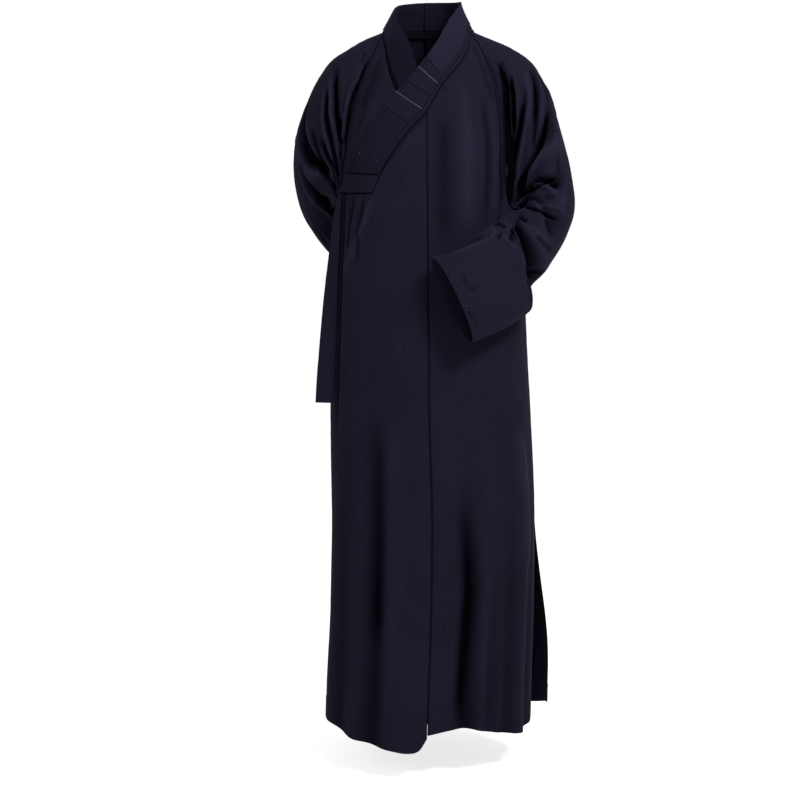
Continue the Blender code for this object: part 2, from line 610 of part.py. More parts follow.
def seam_at(turn):
    """Where the lower sleeve starts at this turn."""
    return SEAM_AT + SEAM_LEAN * (0.5 - 0.5 * math.cos(math.radians(turn)))


def sleeve(side, rings, armhole, folds):
    """Upper and lower piece of one sleeve."""
    turns = [360.0 * k / 28 for k in range(28)] + [0.0]

    def upper(turn, share):
        gap = 0.0012 + 0.0050 * ease(min(turn, 360.0 - turn), 60.0, 0.0)
        return sleeve_point(rings, armhole, folds, turn, (seam_at(turn) - gap) * share)

    def lower(turn, share):
        start = seam_at(turn)
        return sleeve_point(rings, armhole, folds, turn, start + (1.0 - start) * share)

    cloth("sleeve_" + side + "_upper", upper, turns, spread(0.0, 1.0, 26), ring=True)
    cloth("sleeve_" + side + "_lower", lower, turns, spread(0.0, 1.0, 7), ring=True)


def tie_ribbon():
    """The ribbon that hangs from the end of the band and turns outwards on its way down."""
    def place(across, along):
        height = OVERLAP_TOP - 0.001 - RIBBON_DROP * along
        off = 2 * SEAM + WALL + 0.0025 * ease(along, 0.0, 0.1)
        near = body_point(-64.5 - 2.0 * along, height, LAYER + off)
        turn = math.radians(24.0 + 52.0 * ease(along, 0.0, 1.0))
        width = 0.020 + (RIBBON_WIDTH - 0.020) * ease(along, 0.0, 0.15)
        return near + Vector((-math.sin(turn), math.cos(turn), 0.0)) * width * across

    return cloth("tie_ribbon", place, spread(0.0, 1.0, 4), spread(0.0, 1.0, 13))


def build():
    for thing in list(bpy.data.objects):
        bpy.data.objects.remove(thing, do_unlink=True)
    front_left()
    front_overlap()
    front_right()
    back_panel("back_left", ARMHOLE_LEFT, UNDERARM_LEFT, 1)
    back_panel("back_right", ARMHOLE_RIGHT, UNDERARM_RIGHT, -1)
    collar()
    sleeve("left", SLEEVE_LEFT, ARMHOLE_LEFT, FOLDS_LEFT)
    sleeve("right", SLEEVE_RIGHT, ARMHOLE_RIGHT, FOLDS_RIGHT)
    tie_ribbon()


build()
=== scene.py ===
# %% [markdown]
# # A long cross-collar gown
# The gown is dark navy plain weave, worn, so it stands in the form a body gives it, hollow inside. The frame
# below is the measured model. Every piece is laid on the same form, with finer folds, seams and stitches.

import math
from collections import namedtuple

import bmesh
import bpy
from mathutils import Matrix, Vector, noise
from mathutils.bvhtree import BVHTree


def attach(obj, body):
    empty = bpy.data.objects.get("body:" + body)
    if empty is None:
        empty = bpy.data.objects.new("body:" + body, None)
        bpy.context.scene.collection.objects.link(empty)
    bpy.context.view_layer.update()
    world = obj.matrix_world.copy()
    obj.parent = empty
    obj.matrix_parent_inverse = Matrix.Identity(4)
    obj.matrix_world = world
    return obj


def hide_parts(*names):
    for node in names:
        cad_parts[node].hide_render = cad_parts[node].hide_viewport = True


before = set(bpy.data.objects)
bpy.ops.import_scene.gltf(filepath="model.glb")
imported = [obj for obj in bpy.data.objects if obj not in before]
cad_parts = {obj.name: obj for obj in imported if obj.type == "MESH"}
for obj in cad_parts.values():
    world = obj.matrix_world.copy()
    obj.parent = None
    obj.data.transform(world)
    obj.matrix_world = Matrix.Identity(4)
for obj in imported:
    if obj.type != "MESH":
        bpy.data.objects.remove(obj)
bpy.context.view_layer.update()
print("frame:", len(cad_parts), "nodes")

# %% [markdown]
# ## The camera
# A long lens far away keeps the tall gown from narrowing towards its hem. It looks a little down, from the
# height of the chest.

# %% Camera
CAMERA_TILT = 6.874


def put(name, data):
    """Puts a new object in the scene."""
    item = bpy.data.objects.new(name, data)
    bpy.context.scene.collection.objects.link(item)
    return item


long_lens = bpy.data.cameras.new("camera")
long_lens.lens, long_lens.sensor_width = 81.59, 36.0
camera = put("camera", long_lens)
camera.location = (-0.056, -3.6, -0.30)
camera.rotation_euler = (math.radians(90.0 - CAMERA_TILT), 0.0, 0.0)
bpy.context.scene.camera = camera
print("camera at", tuple(camera.location))

# %% [markdown]
# ## Reading a table smoothly
# A maker works from a few measured widths. These helpers turn such a short table into a smooth shape: one
# reads its millimetres, one runs a soft curve through a column, one goes gently from 0 to 1.


# %% Table, curve, ease and spread
def table(kind, rows, plain=""):
    """Rows with named columns, written in millimetres and kept in metres, but for the columns in plain."""
    return tuple(kind(*(value if column in plain.split() else value / 1000
                        for column, value in zip(kind._fields, row))) for row in rows)
def curve(rows, column, at):
    """Reads one column of a table smoothly between its rows; the first column is the key."""
    if at <= rows[0][0]:
        return rows[0][column]
    if at >= rows[-1][0]:
        return rows[-1][column]
    low = 0
    while rows[low + 1][0] <= at:
        low += 1
    before = rows[max(low - 1, 0)]
    start, end = rows[low], rows[low + 1]
    after = rows[min(low + 2, len(rows) - 1)]
    span = end[0] - start[0]
    slope_in = (end[column] - before[column]) / (end[0] - before[0]) * span
    slope_out = (after[column] - start[column]) / (after[0] - start[0]) * span
    t = (at - start[0]) / span
    value = (2 * t**3 - 3 * t**2 + 1) * start[column]
    value += (t**3 - 2 * t**2 + t) * slope_in
    value += (3 * t**2 - 2 * t**3) * end[column]
    return value + (t**3 - t**2) * slope_out


def ease(value, start, end):
    """Goes softly from 0 at start to 1 at end."""
    t = min(1.0, max(0.0, (value - start) / (end - start)))
    return t * t * (3.0 - 2.0 * t)


def spread(start, end, count):
    """Evenly spaced values, both ends included."""
    return [start + (end - start) * k / (count - 1) for k in range(count)]


print("half way:", ease(0.5, 0.0, 1.0))

# %% [markdown]
# ## The form of the body
# Cloth that is worn takes a soft, rounded-square section. Each row below gives that section at one height,
# in metres from the base of the neck.

# %% Sections of the body
WALL = 0.0012
BAND_WALL = 0.0020
SEAM = 0.0003
LAYER = 0.0045
TUCK = 0.0006
BAND_RISE = 0.0008
ROUNDNESS = 2.3

Section = namedtuple("Section", "height half_width front_depth back_depth centre")
BODY = table(Section, (
    (-1420, 207, 189, 180, 2),
    (-1300, 206, 183, 173, 5),
    (-1150, 204, 174, 164, 10),
    (-950, 202, 162, 152, 12),
    (-750, 198, 152, 142, 6),
    (-620, 191.5, 148, 136, 5),
    (-500, 186.5, 146, 132, 3.5),
    (-380, 180, 144, 130, 2),
    (-280, 175, 140, 127, 1),
    (-180, 160, 128, 120, 0),
    (-100, 136, 110, 108, 0),
    (-40, 107, 88, 93, 0),
    (0, 82.5, 67, 80, -1),
    (20, 71.5, 58, 75, -1),
    (42, 62, 51, 70, 0),
    (60, 60, 48, 68, 0),
))


def body_section(height, in_front):
    """Half width, depth and centre of the body's section at this height."""
    return curve(BODY, 1, height), curve(BODY, 2 if in_front else 3, height), curve(BODY, 4, height)


def body_surface(angle, height):
    """Smooth form of the body of the gown; angle 0 is the front and 90 the wearer's left."""
    turn = math.radians(angle)
    side, front = math.sin(turn), math.cos(turn)
    reach = (abs(side)**ROUNDNESS + abs(front)**ROUNDNESS) ** (-1.0 / ROUNDNESS)
    width, depth, centre = body_section(height, front > 0)
    return Vector((centre + width * side * reach, -depth * front * reach, height))


print("chest front:", tuple(round(v, 3) for v in body_surface(0.0, -0.28)))

# %% [markdown]
# ## Folds that hang
# Loose cloth falls in long upright folds that start where it leaves the body and deepen to the hem. Each row
# is one fold: where it is round the body, how wide, where it starts and how deep it gets.

# %% Long folds of the skirt
HEM_NEAR = -1.372
SkirtFold = namedtuple("SkirtFold", "angle width start depth")
SKIRT_FOLDS = table(SkirtFold, (
    (-58, 16, -600, 10),
    (-34, 11, -660, 13),
    (20, 10, -720, 16),
    (33, 7, -900, 8),
    (46, 14, -550, 10),
    (68, 9, -700, 10),
    (112, 10, -620, 14),
    (138, 13, -500, 16),
    (164, 9, -700, 12),
    (-166, 10, -600, 14),
    (-141, 12, -500, 15),
    (-114, 11, -660, 12),
), "angle width")


def skirt_fold(angle, height):
    """Depth of the long upright folds here."""
    total = 0.0
    for fold in SKIRT_FOLDS:
        away = (angle - fold.angle + 180.0) % 360.0 - 180.0
        if abs(away) < fold.width and height < fold.start:
            shape = math.cos(0.5 * math.pi * away / fold.width) ** 2
            total -= fold.depth * shape * ease(height, fold.start, -1.30)
    return total


print("long folds:", len(SKIRT_FOLDS))

# %% [markdown]
# ## Creases
# A crease is a soft valley along a line, with the cloth it takes up rolled beside it. One helper makes them
# all: it measures how far a point is from a line of marks, and fades the valley out at both ends.

# %% One crease
Crease = namedtuple("Crease", "width depth roll marks left right low high")
REACH = 3.5


def crease_depth(crease, across, along, scale):
    """Depth of one crease at a point; scale turns both of its coordinates into metres."""
    nearest, side, share = 1.0, 0.0, 0.0
    spans = len(crease.marks) - 1
    for k, (one, two) in enumerate(zip(crease.marks, crease.marks[1:])):
        way = ((two[0] - one[0]) * scale[0], (two[1] - one[1]) * scale[1])
        here = ((across - one[0]) * scale[0], (along - one[1]) * scale[1])
        length = way[0]**2 + way[1]**2
        t = min(1.0, max(0.0, (here[0] * way[0] + here[1] * way[1]) / length))
        off = (here[0] - way[0] * t, here[1] - way[1] * t)
        reach = math.hypot(*off)
        if reach < nearest:
            nearest = reach
            side = math.copysign(1.0, way[0] * off[1] - way[1] * off[0])
            share = (k + t) / spans
    if nearest > REACH * crease.width:
        return 0.0
    away = nearest / crease.width
    beside = math.copysign(1.0, crease.roll) * side * away - 1.5
    strength = ease(share, 0.0, 0.20) * ease(share, 1.0, 0.78)
    valley = crease.depth * math.exp(-away * away)
    return strength * (abs(crease.roll) * math.exp(-beside * beside) - valley)


def creases(rows, scale, units=(1000, 1000)):
    """Reads rows of a name, a width, a depth and a roll in millimetres, then the marks in units. Each crease
    also gets the box that it reaches, so that far ones are passed over quickly."""
    found = []
    for _, width, depth, roll, *marks in rows:
        across, along = ([mark[k] / units[k] for mark in marks] for k in (0, 1))
        room = [REACH * (width / 1000) / k for k in scale]
        found.append(Crease(width / 1000, depth / 1000, roll / 1000, list(zip(across, along)),
                            min(across) - room[0], max(across) + room[0],
                            min(along) - room[1], max(along) + room[1]))
    return found


def all_creases(found, across, along, scale):
    """Depth of all the creases of a table at a point."""
    return sum(crease_depth(crease, across, along, scale) for crease in found
               if crease.left < across < crease.right and crease.low < along < crease.high)


def uneven(across, along, size, depth):
    """The slight waviness that all cloth has."""
    return depth * noise.noise(Vector((across / size, along / size, 3.7)))


print("unevenness at a point:", round(uneven(0.1, 0.2, 0.03, 1.0), 3))

# %% [markdown]
# ## Creases of the body
# Across the chest the cloth is pulled from the shoulder to the crossing, so its creases are long and shallow.
# Angles are in degrees round the body and heights in metres.

# %% Body creases
BODY_SCALE = (0.0030, 1.0)
BODY_CREASES = creases((
    ("raglan valley", 6, 7.5, 0, (57.5, -40), (60.2, -100), (56.5, -180), (49.8, -270), (49, -330),
     (45.5, -372)),
    ("valley", 9, 4.5, 1.5, (41, -130), (40.3, -222), (37.7, -297), (34.7, -400)),
    ("light ridge", 13, -3.6, 0, (24, -90), (24.1, -203), (22.7, -297), (21.6, -430)),
    ("dark trough", 15, 4, 0, (9.7, -165), (8.3, -241), (7.7, -335), (7.9, -440)),
    ("left shoulder", 12, 3, 1.6, (50, -30), (52, -90), (51, -160)),
    ("right shoulder", 12, 3.4, 1.4, (-48, -60), (-50, -110), (-56, -180)),
    ("right chest", 10, 2.4, 1.2, (-40, -70), (-45, -130), (-58, -230)),
    ("overlap edge", 6.2, 12, 3, (-60.6, -300), (-61.4, -400), (-62.4, -520), (-63.6, -820)),
    ("gather ridge", 6, -4.5, 0, (-34.6, -322), (-41.6, -383), (-52.3, -441), (-58, -490)),
    ("gather", 4.5, 5, 2, (-49.7, -326), (-53.4, -374), (-55.9, -435)),
    ("gather 2", 4.5, 4, 1.8, (-41.1, -328), (-45.7, -383), (-46.5, -470)),
    ("skirt right", 16, 4.5, 1.5, (-31.2, -730), (-31.7, -912), (-32.7, -1068), (-32.7, -1230)),
    ("skirt middle", 14, 5, 2, (13.9, -860), (20.8, -1090), (16.5, -1246), (14.1, -1370)),
    ("skirt ridge", 12, -5.5, 0, (52.7, -760), (60.8, -932), (63.4, -1080)),
), BODY_SCALE, units=(1, 1000))


def body_relief(angle, height):
    """How far the folds and creases move the body's cloth here, outwards."""
    relief = skirt_fold(angle, height)
    if height < -0.02:
        relief += all_creases(BODY_CREASES, angle, height, BODY_SCALE)
    return relief


def body_angle(point):
    """The angle round the body at which a point lies."""
    width, depth, centre = body_section(point.z, point.y < 0)
    return math.degrees(math.atan2((point.x - centre) / width, -point.y / depth))


def body_point(angle, height, out=0.0):
    """A point on the gown's body, moved out from its surface, folded and creased."""
    here = body_surface(angle, height)
    across = body_surface(angle + 0.5, height) - here
    along = body_surface(angle, height + 0.002) - here
    normal = across.cross(along).normalized()
    relief = body_relief(angle, height)
    wave = uneven(angle * 0.0030, height * 0.22, 0.030, 0.0011)
    relief += (wave + uneven(angle * 0.0030, height, 0.016, 0.0003)) * ease(height, -0.02, -0.12)
    return here + normal * (out + relief)


print("body creases:", len(BODY_CREASES))

# %% [markdown]
# ## One piece of cloth
# Every piece starts as a flat grid, like the cut cloth, and each of its points is then laid where it belongs.
# The grid also carries the weave: its UV map is in metres along the threads, so the weave keeps its size
# wherever the cloth goes. Solidify gives it thickness, inwards from the side that shows.


# %% The cloth helper
def lengths(points):
    """How far along a line of points each one lies, in metres."""
    found = [0.0]
    for one, two in zip(points, points[1:]):
        found.append(found[-1] + (two - one).length)
    return found


def filled(name, bm):
    """A mesh from a bmesh, which is used up."""
    mesh = bpy.data.meshes.new(name)
    bm.to_mesh(mesh)
    bm.free()
    return mesh


SURFACES = {}
PIECES = {}
SKIRT_EVEN = 0.6
SEAM_DIP = 0.0015
SEAM_DIP_WIDTH = 0.0022
SEAM_SHADE = 0.0050
LAP_ROOM = 0.0007
LAP_WIDTH = 0.0060
MERGE = 1e-5


def seam_allowance(bm, side, wall):
    """Turns the cloth in at one side and runs it on under its neighbour, as a sewn edge does inside."""
    edges = [edge for edge in bm.edges if edge.is_boundary and all(v in side for v in edge.verts)]
    level = side
    for stage in ("in", "along"):
        made = bmesh.ops.extrude_edge_only(bm, edges=edges)["geom"]
        fresh = {}
        for vert in made:
            if isinstance(vert, bmesh.types.BMVert):
                old = next(e.other_vert(vert) for e in vert.link_edges if e.other_vert(vert) in level)
                normal, outwards = level[old]
                vert.co += -normal * (wall + LAP_ROOM) if stage == "in" else outwards * LAP_WIDTH
                fresh[vert] = (normal, outwards)
        edges = [edge for edge in made if isinstance(edge, bmesh.types.BMEdge)
                 and all(v in fresh for v in edge.verts)]
        level = fresh


def body_folds(column, row, point, normal):
    """For the body's pieces, whose points are folded already: how deep each one lies, which sets their
    painted fold shade.
    """
    angle = body_angle(point)
    return point, body_relief(angle, point.z) - SKIRT_EVEN * skirt_fold(angle, point.z)


def cloth(name, place, columns, rows, wall=WALL, ring=False, dips="", laps="", lap_until=math.inf,
          folds=body_folds):
    """A piece of cloth whose outer face is place(column, row), folded by folds. It turns in at the edges that
    dips names and runs on under its neighbour at those in laps: l and r are the first and last column, b and
    t the first and last row, and lap_until is the row where a side's lap ends. Each point keeps how deep in
    a fold or seam dip it lies, which the material turns into painted shade in valleys and a painted highlight
    on ridges."""
    bm = bmesh.new()
    uv = bm.loops.layers.uv.new("threads")
    deep = bm.verts.layers.float.new("fold")
    count = (len(columns), len(rows))
    bmesh.ops.create_grid(bm, x_segments=count[0] - 1, y_segments=count[1] - 1, size=1.0)
    spots, cells = {}, {}
    for vert in bm.verts:
        cell = tuple(round((vert.co[k] + 1.0) / 2.0 * (count[k] - 1)) for k in (0, 1))
        vert.co = place(columns[cell[0]], rows[cell[1]])
        spots[cell] = vert.co.copy()
        cells[vert] = cell
    wide = lengths([spots[(k, count[1] // 2)] for k in range(count[0])])
    long = lengths([spots[(count[0] // 2, k)] for k in range(count[1])])
    for face in bm.faces:
        for loop in face.loops:
            cell = cells[loop.vert]
            loop[uv].uv = (wide[cell[0]], long[cell[1]])
    bmesh.ops.remove_doubles(bm, verts=bm.verts[:], dist=MERGE)
    bm.normal_update()
    middle = sum((vert.co for vert in bm.verts), Vector()) / len(bm.verts)
    if not ring:
        middle.x = middle.y = 0.0
    if sum(face.normal.dot(face.calc_center_median() - middle) for face in bm.faces) < 0.0:
        bmesh.ops.reverse_faces(bm, faces=bm.faces[:])
        bm.normal_update()
    folded = {}
    for vert in bm.verts:
        column, row = cells[vert]
        folded[vert], vert[deep] = folds(columns[column], rows[row], vert.co.copy(), vert.normal.copy())
    for vert, spot in folded.items():
        vert.co = spot
    bm.normal_update()
    moves = {}
    for vert in bm.verts:
        column, row = cells[vert]
        gaps = {"l": wide[column], "r": wide[-1] - wide[column], "b": long[row], "t": long[-1] - long[row]}
        near = math.exp(-((min([gaps[side] for side in dips] + [1.0]) / SEAM_DIP_WIDTH) ** 2))
        moves[vert] = vert.normal * -SEAM_DIP * near
        # Seam dips also get painted shade, through the fold depth that the material reads.
        vert[deep] -= SEAM_SHADE * near
    for vert, move in moves.items():
        vert.co += move
    bm.normal_update()
    ends = {"l": (0, 0, 1), "r": (0, count[0] - 1, -1), "b": (1, 0, 1), "t": (1, count[1] - 1, -1)}
    by_cell = {cells[vert]: vert for vert in bm.verts}
    for (column, row), vert in list(by_cell.items()):
        if ring and column in (0, count[0] - 1):
            by_cell.setdefault((count[0] - 1 - column, row), vert)
    lap_sides = []
    for letter in laps:
        axis, place_at, step = ends[letter]
        side = {}
        for cell, vert in by_cell.items():
            ended = letter in "lr" and rows[cell[1]] > lap_until
            if cell[axis] == place_at and not ended:
                inner = list(cell)
                inner[axis] += 2 * step
                outwards = (vert.co - by_cell[tuple(inner)].co).normalized()
                side[vert] = (vert.normal.copy(), outwards)
        lap_sides.append(side)
    for edge in bm.edges:
        edge.smooth = not edge.is_boundary
    SURFACES[name] = BVHTree.FromBMesh(bm)
    for side in lap_sides:
        seam_allowance(bm, side, wall)
    for face in bm.faces:
        face.smooth = True
    mesh = filled(name, bm)
    piece = put(name + "_cloth", mesh)
    thick = piece.modifiers.new("thickness", "SOLIDIFY")
    thick.thickness = wall
    thick.offset = -1.0
    area = sum(face.area for face in mesh.polygons)
    print(f"{name}: {wide[-1]:.3f} by {long[-1]:.3f} m, {area:.4f} square metres")
    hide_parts(name)
    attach(piece, "root")
    PIECES[name] = piece


def close_to_ends(start, end, count):
    """Evenly spaced values and two more near each end, so that an edge can turn down into its seam."""
    values = spread(start, end, count)
    first, last = values[1] - values[0], values[-1] - values[-2]
    return ([start, start + 0.25 * first, start + 0.6 * first] + values[1:-1]
            + [values[-1] - 0.6 * last, values[-1] - 0.25 * last, values[-1]])


# %% [markdown]
# ## Where the collar lies
# The collar band is one long strip. It goes round the neck and comes down the front, so its seam and its free
# edge are given row by row, as an angle and a height on the body. The other half goes under the crossing.

# %% Rows of the collar bands
Band = namedtuple("Band", "seam_angle seam_height edge_angle edge_height")
BAND_OUTER = table(Band, (
    (180, -10, 180, 52),
    (160, -10.5, 160, 52),
    (140, -11.5, 141, 51),
    (121, -13, 124, 50),
    (104, -13.5, 110, 49),
    (88, -14, 97, 48),
    (72, -14, 80, 46),
    (57, -14, 50, 30),
    (40.8, -46, 30, 10),
    (28, -74, 16, -15),
    (17, -98, 4, -45),
    (13, -108, -2.5, -63),
    (8.8, -120, -9, -82),
    (3.5, -143, -17.5, -109),
    (-1.8, -168, -24.2, -130),
    (-11.5, -196, -30.5, -158),
    (-19.2, -226, -40, -190),
    (-25, -252, -47.5, -219),
    (-31.3, -288, -57.5, -285),
    (-35.8, -323, -73, -323),
), "seam_angle edge_angle")
BAND_UNDER = table(Band, (
    (-180, -10, -180, 52),
    (-160, -10.5, -160, 51),
    (-140, -11.5, -140, 48),
    (-121, -13, -121, 44),
    (-104, -13.5, -104, 38),
    (-88, -14, -88, 31),
    (-74, -14, -70, 24),
    (-64, -17, -50, 10),
    (-47, -48, -34.5, -8),
    (-36, -85, -22, -32),
    (-25.8, -126, -13.5, -66),
    (-14, -175, -7, -105),
    (-4, -225, -1, -145),
    (4, -275, 4.5, -185),
), "seam_angle edge_angle")
NECK_ROWS = 8
GUARD_END = 11
PATCHES = {"patch_upper": (12, 13), "patch_lower": (14, 15)}
BAND_END = 18


def seam_at_row(bands, key, column, at, otherwise):
    """One column of a band's seam, where its key column has the value at."""
    for one, two in zip(bands, bands[1:]):
        start, end = getattr(one, key), getattr(two, key)
        if min(start, end) <= at <= max(start, end):
            low, high = getattr(one, column), getattr(two, column)
            return low + (high - low) * ((at - start) / (end - start))
    return otherwise


def seam_angle_at(bands, height, otherwise):
    """Angle of a band's seam at this height, on its way down the front."""
    return seam_at_row(bands, "seam_height", "seam_angle", height, otherwise)


def seam_height_at(bands, angle, otherwise):
    """Height of a band's seam at this angle."""
    return seam_at_row(bands, "seam_angle", "seam_height", angle, otherwise)


def neck_seam(angle):
    """Height of the seam between the collar band and the body, round the neck."""
    bands = (BAND_OUTER if angle > 0.0 else BAND_UNDER)[:NECK_ROWS]
    return seam_height_at(bands, angle, bands[-1].seam_height)


def upper_layer(angle):
    """The upper front lies on the lower one, so it moves out towards its free edge."""
    return LAYER * ease(-angle, -10.0, 60.0)


def lower_layer(angle):
    """The lower front lies one layer further in."""
    return upper_layer(angle) - LAYER


print("collar rows:", len(BAND_OUTER), "and", len(BAND_UNDER))

# %% [markdown]
# ## Where the sleeves begin
# On a gown like this the upper sleeve is cut in one with the body, and cloth folds under itself along a line
# from the neck to the underarm. That line is the edge of the body's panels here.

# %% Armholes
SIDE = 90.0
TUCK_ANGLE = 3.5
Armhole = namedtuple("Armhole", "height turn front back")
ARMHOLE_LEFT = table(Armhole, (
    (-362, 0, 90, 90),
    (-358, 12, 73, 98),
    (-350, 24, 59, 106),
    (-334, 37, 53, 113),
    (-270, 62, 52, 121),
    (-180, 90, 59, 122),
    (-100, 116, 62.5, 122),
    (-50, 136, 59.5, 121),
    (-14.6, 150, 57, 121),
), "turn front back")
ARMHOLE_RIGHT = table(Armhole, (
    (-345, 0, -90, -90),
    (-341, 12, -83, -98),
    (-333, 24, -77, -105),
    (-318, 37, -72.5, -112),
    (-260, 62, -68, -119),
    (-180, 90, -67, -121),
    (-100, 116, -65.5, -122),
    (-50, 136, -65, -122),
    (-17.6, 150, -65, -121),
), "turn front back")
print("underarms at", ARMHOLE_LEFT[0].height, "and", ARMHOLE_RIGHT[0].height)

# %% [markdown]
# ## The front
# The left front is sewn down its middle to the overlap, which crosses to the wearer's right and hangs free
# to the hem. The hem is a turned-up strip, so the cloth is a little proud there, with a stitched line above.

# %% Upper fronts
CENTRE_FRONT = -1.8
SLIT_TOP = -0.584
SLIT_ANGLE = 1.2
SIDE_GAP = 0.1
OVERLAP_TOP = -0.3235
LEVEL_ROWS = -0.370
OVERLAP_EDGE = -79.0
OVERLAP_EDGE_TOP = -74.0
HEM_TURN = 0.043
HEM_PROUD = 0.0007
HEM_PULL = 0.0006
HEM_PULL_WIDTH = 0.0016
HEM_OVERLAP = ((-80, -1.371), (-60, -1.379), (-40, -1.39), (-20, -1.401), (-12, -1.404), (-6, -1.398),
               (-1.8, -1.374))
HEM_FRONT = ((-2, -1.368), (15, -1.357), (40, -1.374), (60, -1.388), (88, -1.374))


def level_rows(start, end, step):
    """Rows from start down to end, about a step apart."""
    return spread(start, end, max(2, round(abs(start - end) / step) + 1))


def hem_rows(start, end):
    """Rows down to a hem, with some close together at the stitched line of its turned-up strip."""
    line = end + HEM_TURN
    fine = [line + step for step in (0.004, 0.002, 0.0008, 0.0, -0.0008, -0.002, -0.004)]
    return level_rows(start, line + 0.008, 0.0085) + fine + level_rows(line - 0.010, end, 0.008)


def hem_rise(height, end):
    """The turned-up strip is two layers thick, and its stitches pull in."""
    above = height - end - HEM_TURN
    return HEM_PROUD * ease(above, 0.0012, -0.0012) - HEM_PULL * math.exp(-((above / HEM_PULL_WIDTH) ** 2))


def side_edge(armhole, column, height, tuck_top):
    """How far round a panel's side edge is: column 2 of its armhole is for a front, 3 for a back."""
    way = 1.0 if column == 2 else -1.0
    if height < SLIT_TOP - 0.001:
        return SIDE - way * SLIT_ANGLE
    edge = SIDE - way * SIDE_GAP
    if height > armhole[0].height:
        tuck = TUCK_ANGLE * ease(height, armhole[0].height, tuck_top)
        tucked = abs(curve(armhole, column, height)) + way * tuck
        edge = min(tucked, edge) if column == 2 else max(tucked, edge)
    return edge


def front_left_place(share, height):
    start = seam_angle_at(BAND_OUTER[7:15], height + 2 * SEAM, CENTRE_FRONT) + 0.08
    angle = start + (side_edge(ARMHOLE_LEFT, 2, height, -0.330) - start) * share
    out = upper_layer(angle) + hem_rise(height, HEM_NEAR)
    height += (curve(HEM_FRONT, 1, angle) - HEM_NEAR) * ease(height, -1.0, HEM_NEAR)
    return body_point(angle, height, out)


def overlap_top(angle):
    """Height of the overlap's upper edge, along the band and then level under its end."""
    if angle > -10.0:
        return seam_height_at(BAND_OUTER[14:], angle, BAND_OUTER[14].seam_height) - 2 * SEAM
    if angle < BAND_OUTER[-1].seam_angle:
        return OVERLAP_TOP
    return seam_height_at(BAND_OUTER[14:], angle, OVERLAP_TOP + 2 * SEAM) - 2 * SEAM


def overlap_place(angle, row):
    height = overlap_top(angle) + (LEVEL_ROWS - overlap_top(angle)) * row if row >= 0.0 else row
    gather = ease(angle, -34.0, -42.0) * ease(height, -0.43, -0.328)
    ripple = 0.0011 * gather * math.sin(math.radians(angle * 105.0) + 2.0 * math.sin(angle * 0.7))
    far = ease(angle, -42.0, OVERLAP_EDGE_TOP)
    angle += (OVERLAP_EDGE - OVERLAP_EDGE_TOP) * far * ease(height, OVERLAP_TOP, -0.45)
    out = upper_layer(angle) + hem_rise(height, HEM_NEAR) + ripple
    height += (curve(HEM_OVERLAP, 1, angle) - HEM_NEAR) * ease(height, -1.0, HEM_NEAR)
    return body_point(angle, height, out)


seam_rows = [band.seam_height - 2 * SEAM for band in BAND_OUTER[7:15]]
left_rows = level_rows(seam_rows[0], seam_rows[-1], 0.005)
left_rows += level_rows(seam_rows[-1] - 0.006, -0.340, 0.007) + level_rows(-0.345, -0.372, 0.004)
left_rows += level_rows(-0.379, SLIT_TOP, 0.0085) + hem_rows(SLIT_TOP - 0.008, HEM_NEAR)
cloth("front_left", front_left_place, close_to_ends(0.0, 1.0, 68), left_rows, dips="l")

overlap_rows = close_to_ends(0.0, 1.0, 22) + level_rows(LEVEL_ROWS - 0.008, -0.60, 0.0085)
overlap_rows += hem_rows(-0.608, HEM_NEAR)
cloth("front_overlap", overlap_place, close_to_ends(CENTRE_FRONT - 0.08, OVERLAP_EDGE_TOP, 62), overlap_rows,
      dips="lb")

# %% [markdown]
# The lower front goes under the overlap. Only its chest shows, but it is cut whole, down to its own hem.

# %% Lower front
HEM_UNDER = -1.346
UNDER_EDGE = 4.0


def front_right_place(share, height):
    end = seam_angle_at(BAND_UNDER[7:], height + 2 * SEAM, UNDER_EDGE)
    start = -side_edge(ARMHOLE_RIGHT, 2, height, -0.315)
    angle = start + (end - start) * share
    return body_point(angle, height, lower_layer(angle) + hem_rise(height, HEM_UNDER))


under_rows = [band.seam_height - 2 * SEAM for band in BAND_UNDER[7:]]
right_rows = level_rows(under_rows[0], under_rows[-1], 0.006)
right_rows += level_rows(-0.281, -0.352, 0.006) + level_rows(-0.359, SLIT_TOP, 0.0085)
right_rows += hem_rows(SLIT_TOP - 0.008, HEM_UNDER)
cloth("front_right", front_right_place, close_to_ends(0.0, 1.0, 52), right_rows, dips="r")

# %% [markdown]
# ## The back
# Two long panels with a seam down the middle. The corner beside the open slit swings out.

# %% Back panels
NECK_SEAM = -0.0150
BACK_FLARE = 0.034
BACK_CORNER = 0.015
PATH_POINTS = 60
PATH_SHARES = spread(0.01, 0.99, PATH_POINTS)
HEM_PATHS = {
    "front_left": [front_left_place(share, HEM_NEAR + HEM_TURN) for share in PATH_SHARES],
    "front_overlap": [overlap_place(angle, HEM_NEAR + HEM_TURN)
                      for angle in spread(-2.2, -73.6, PATH_POINTS)],
    "front_right": [front_right_place(share, HEM_UNDER + HEM_TURN) for share in PATH_SHARES],
}


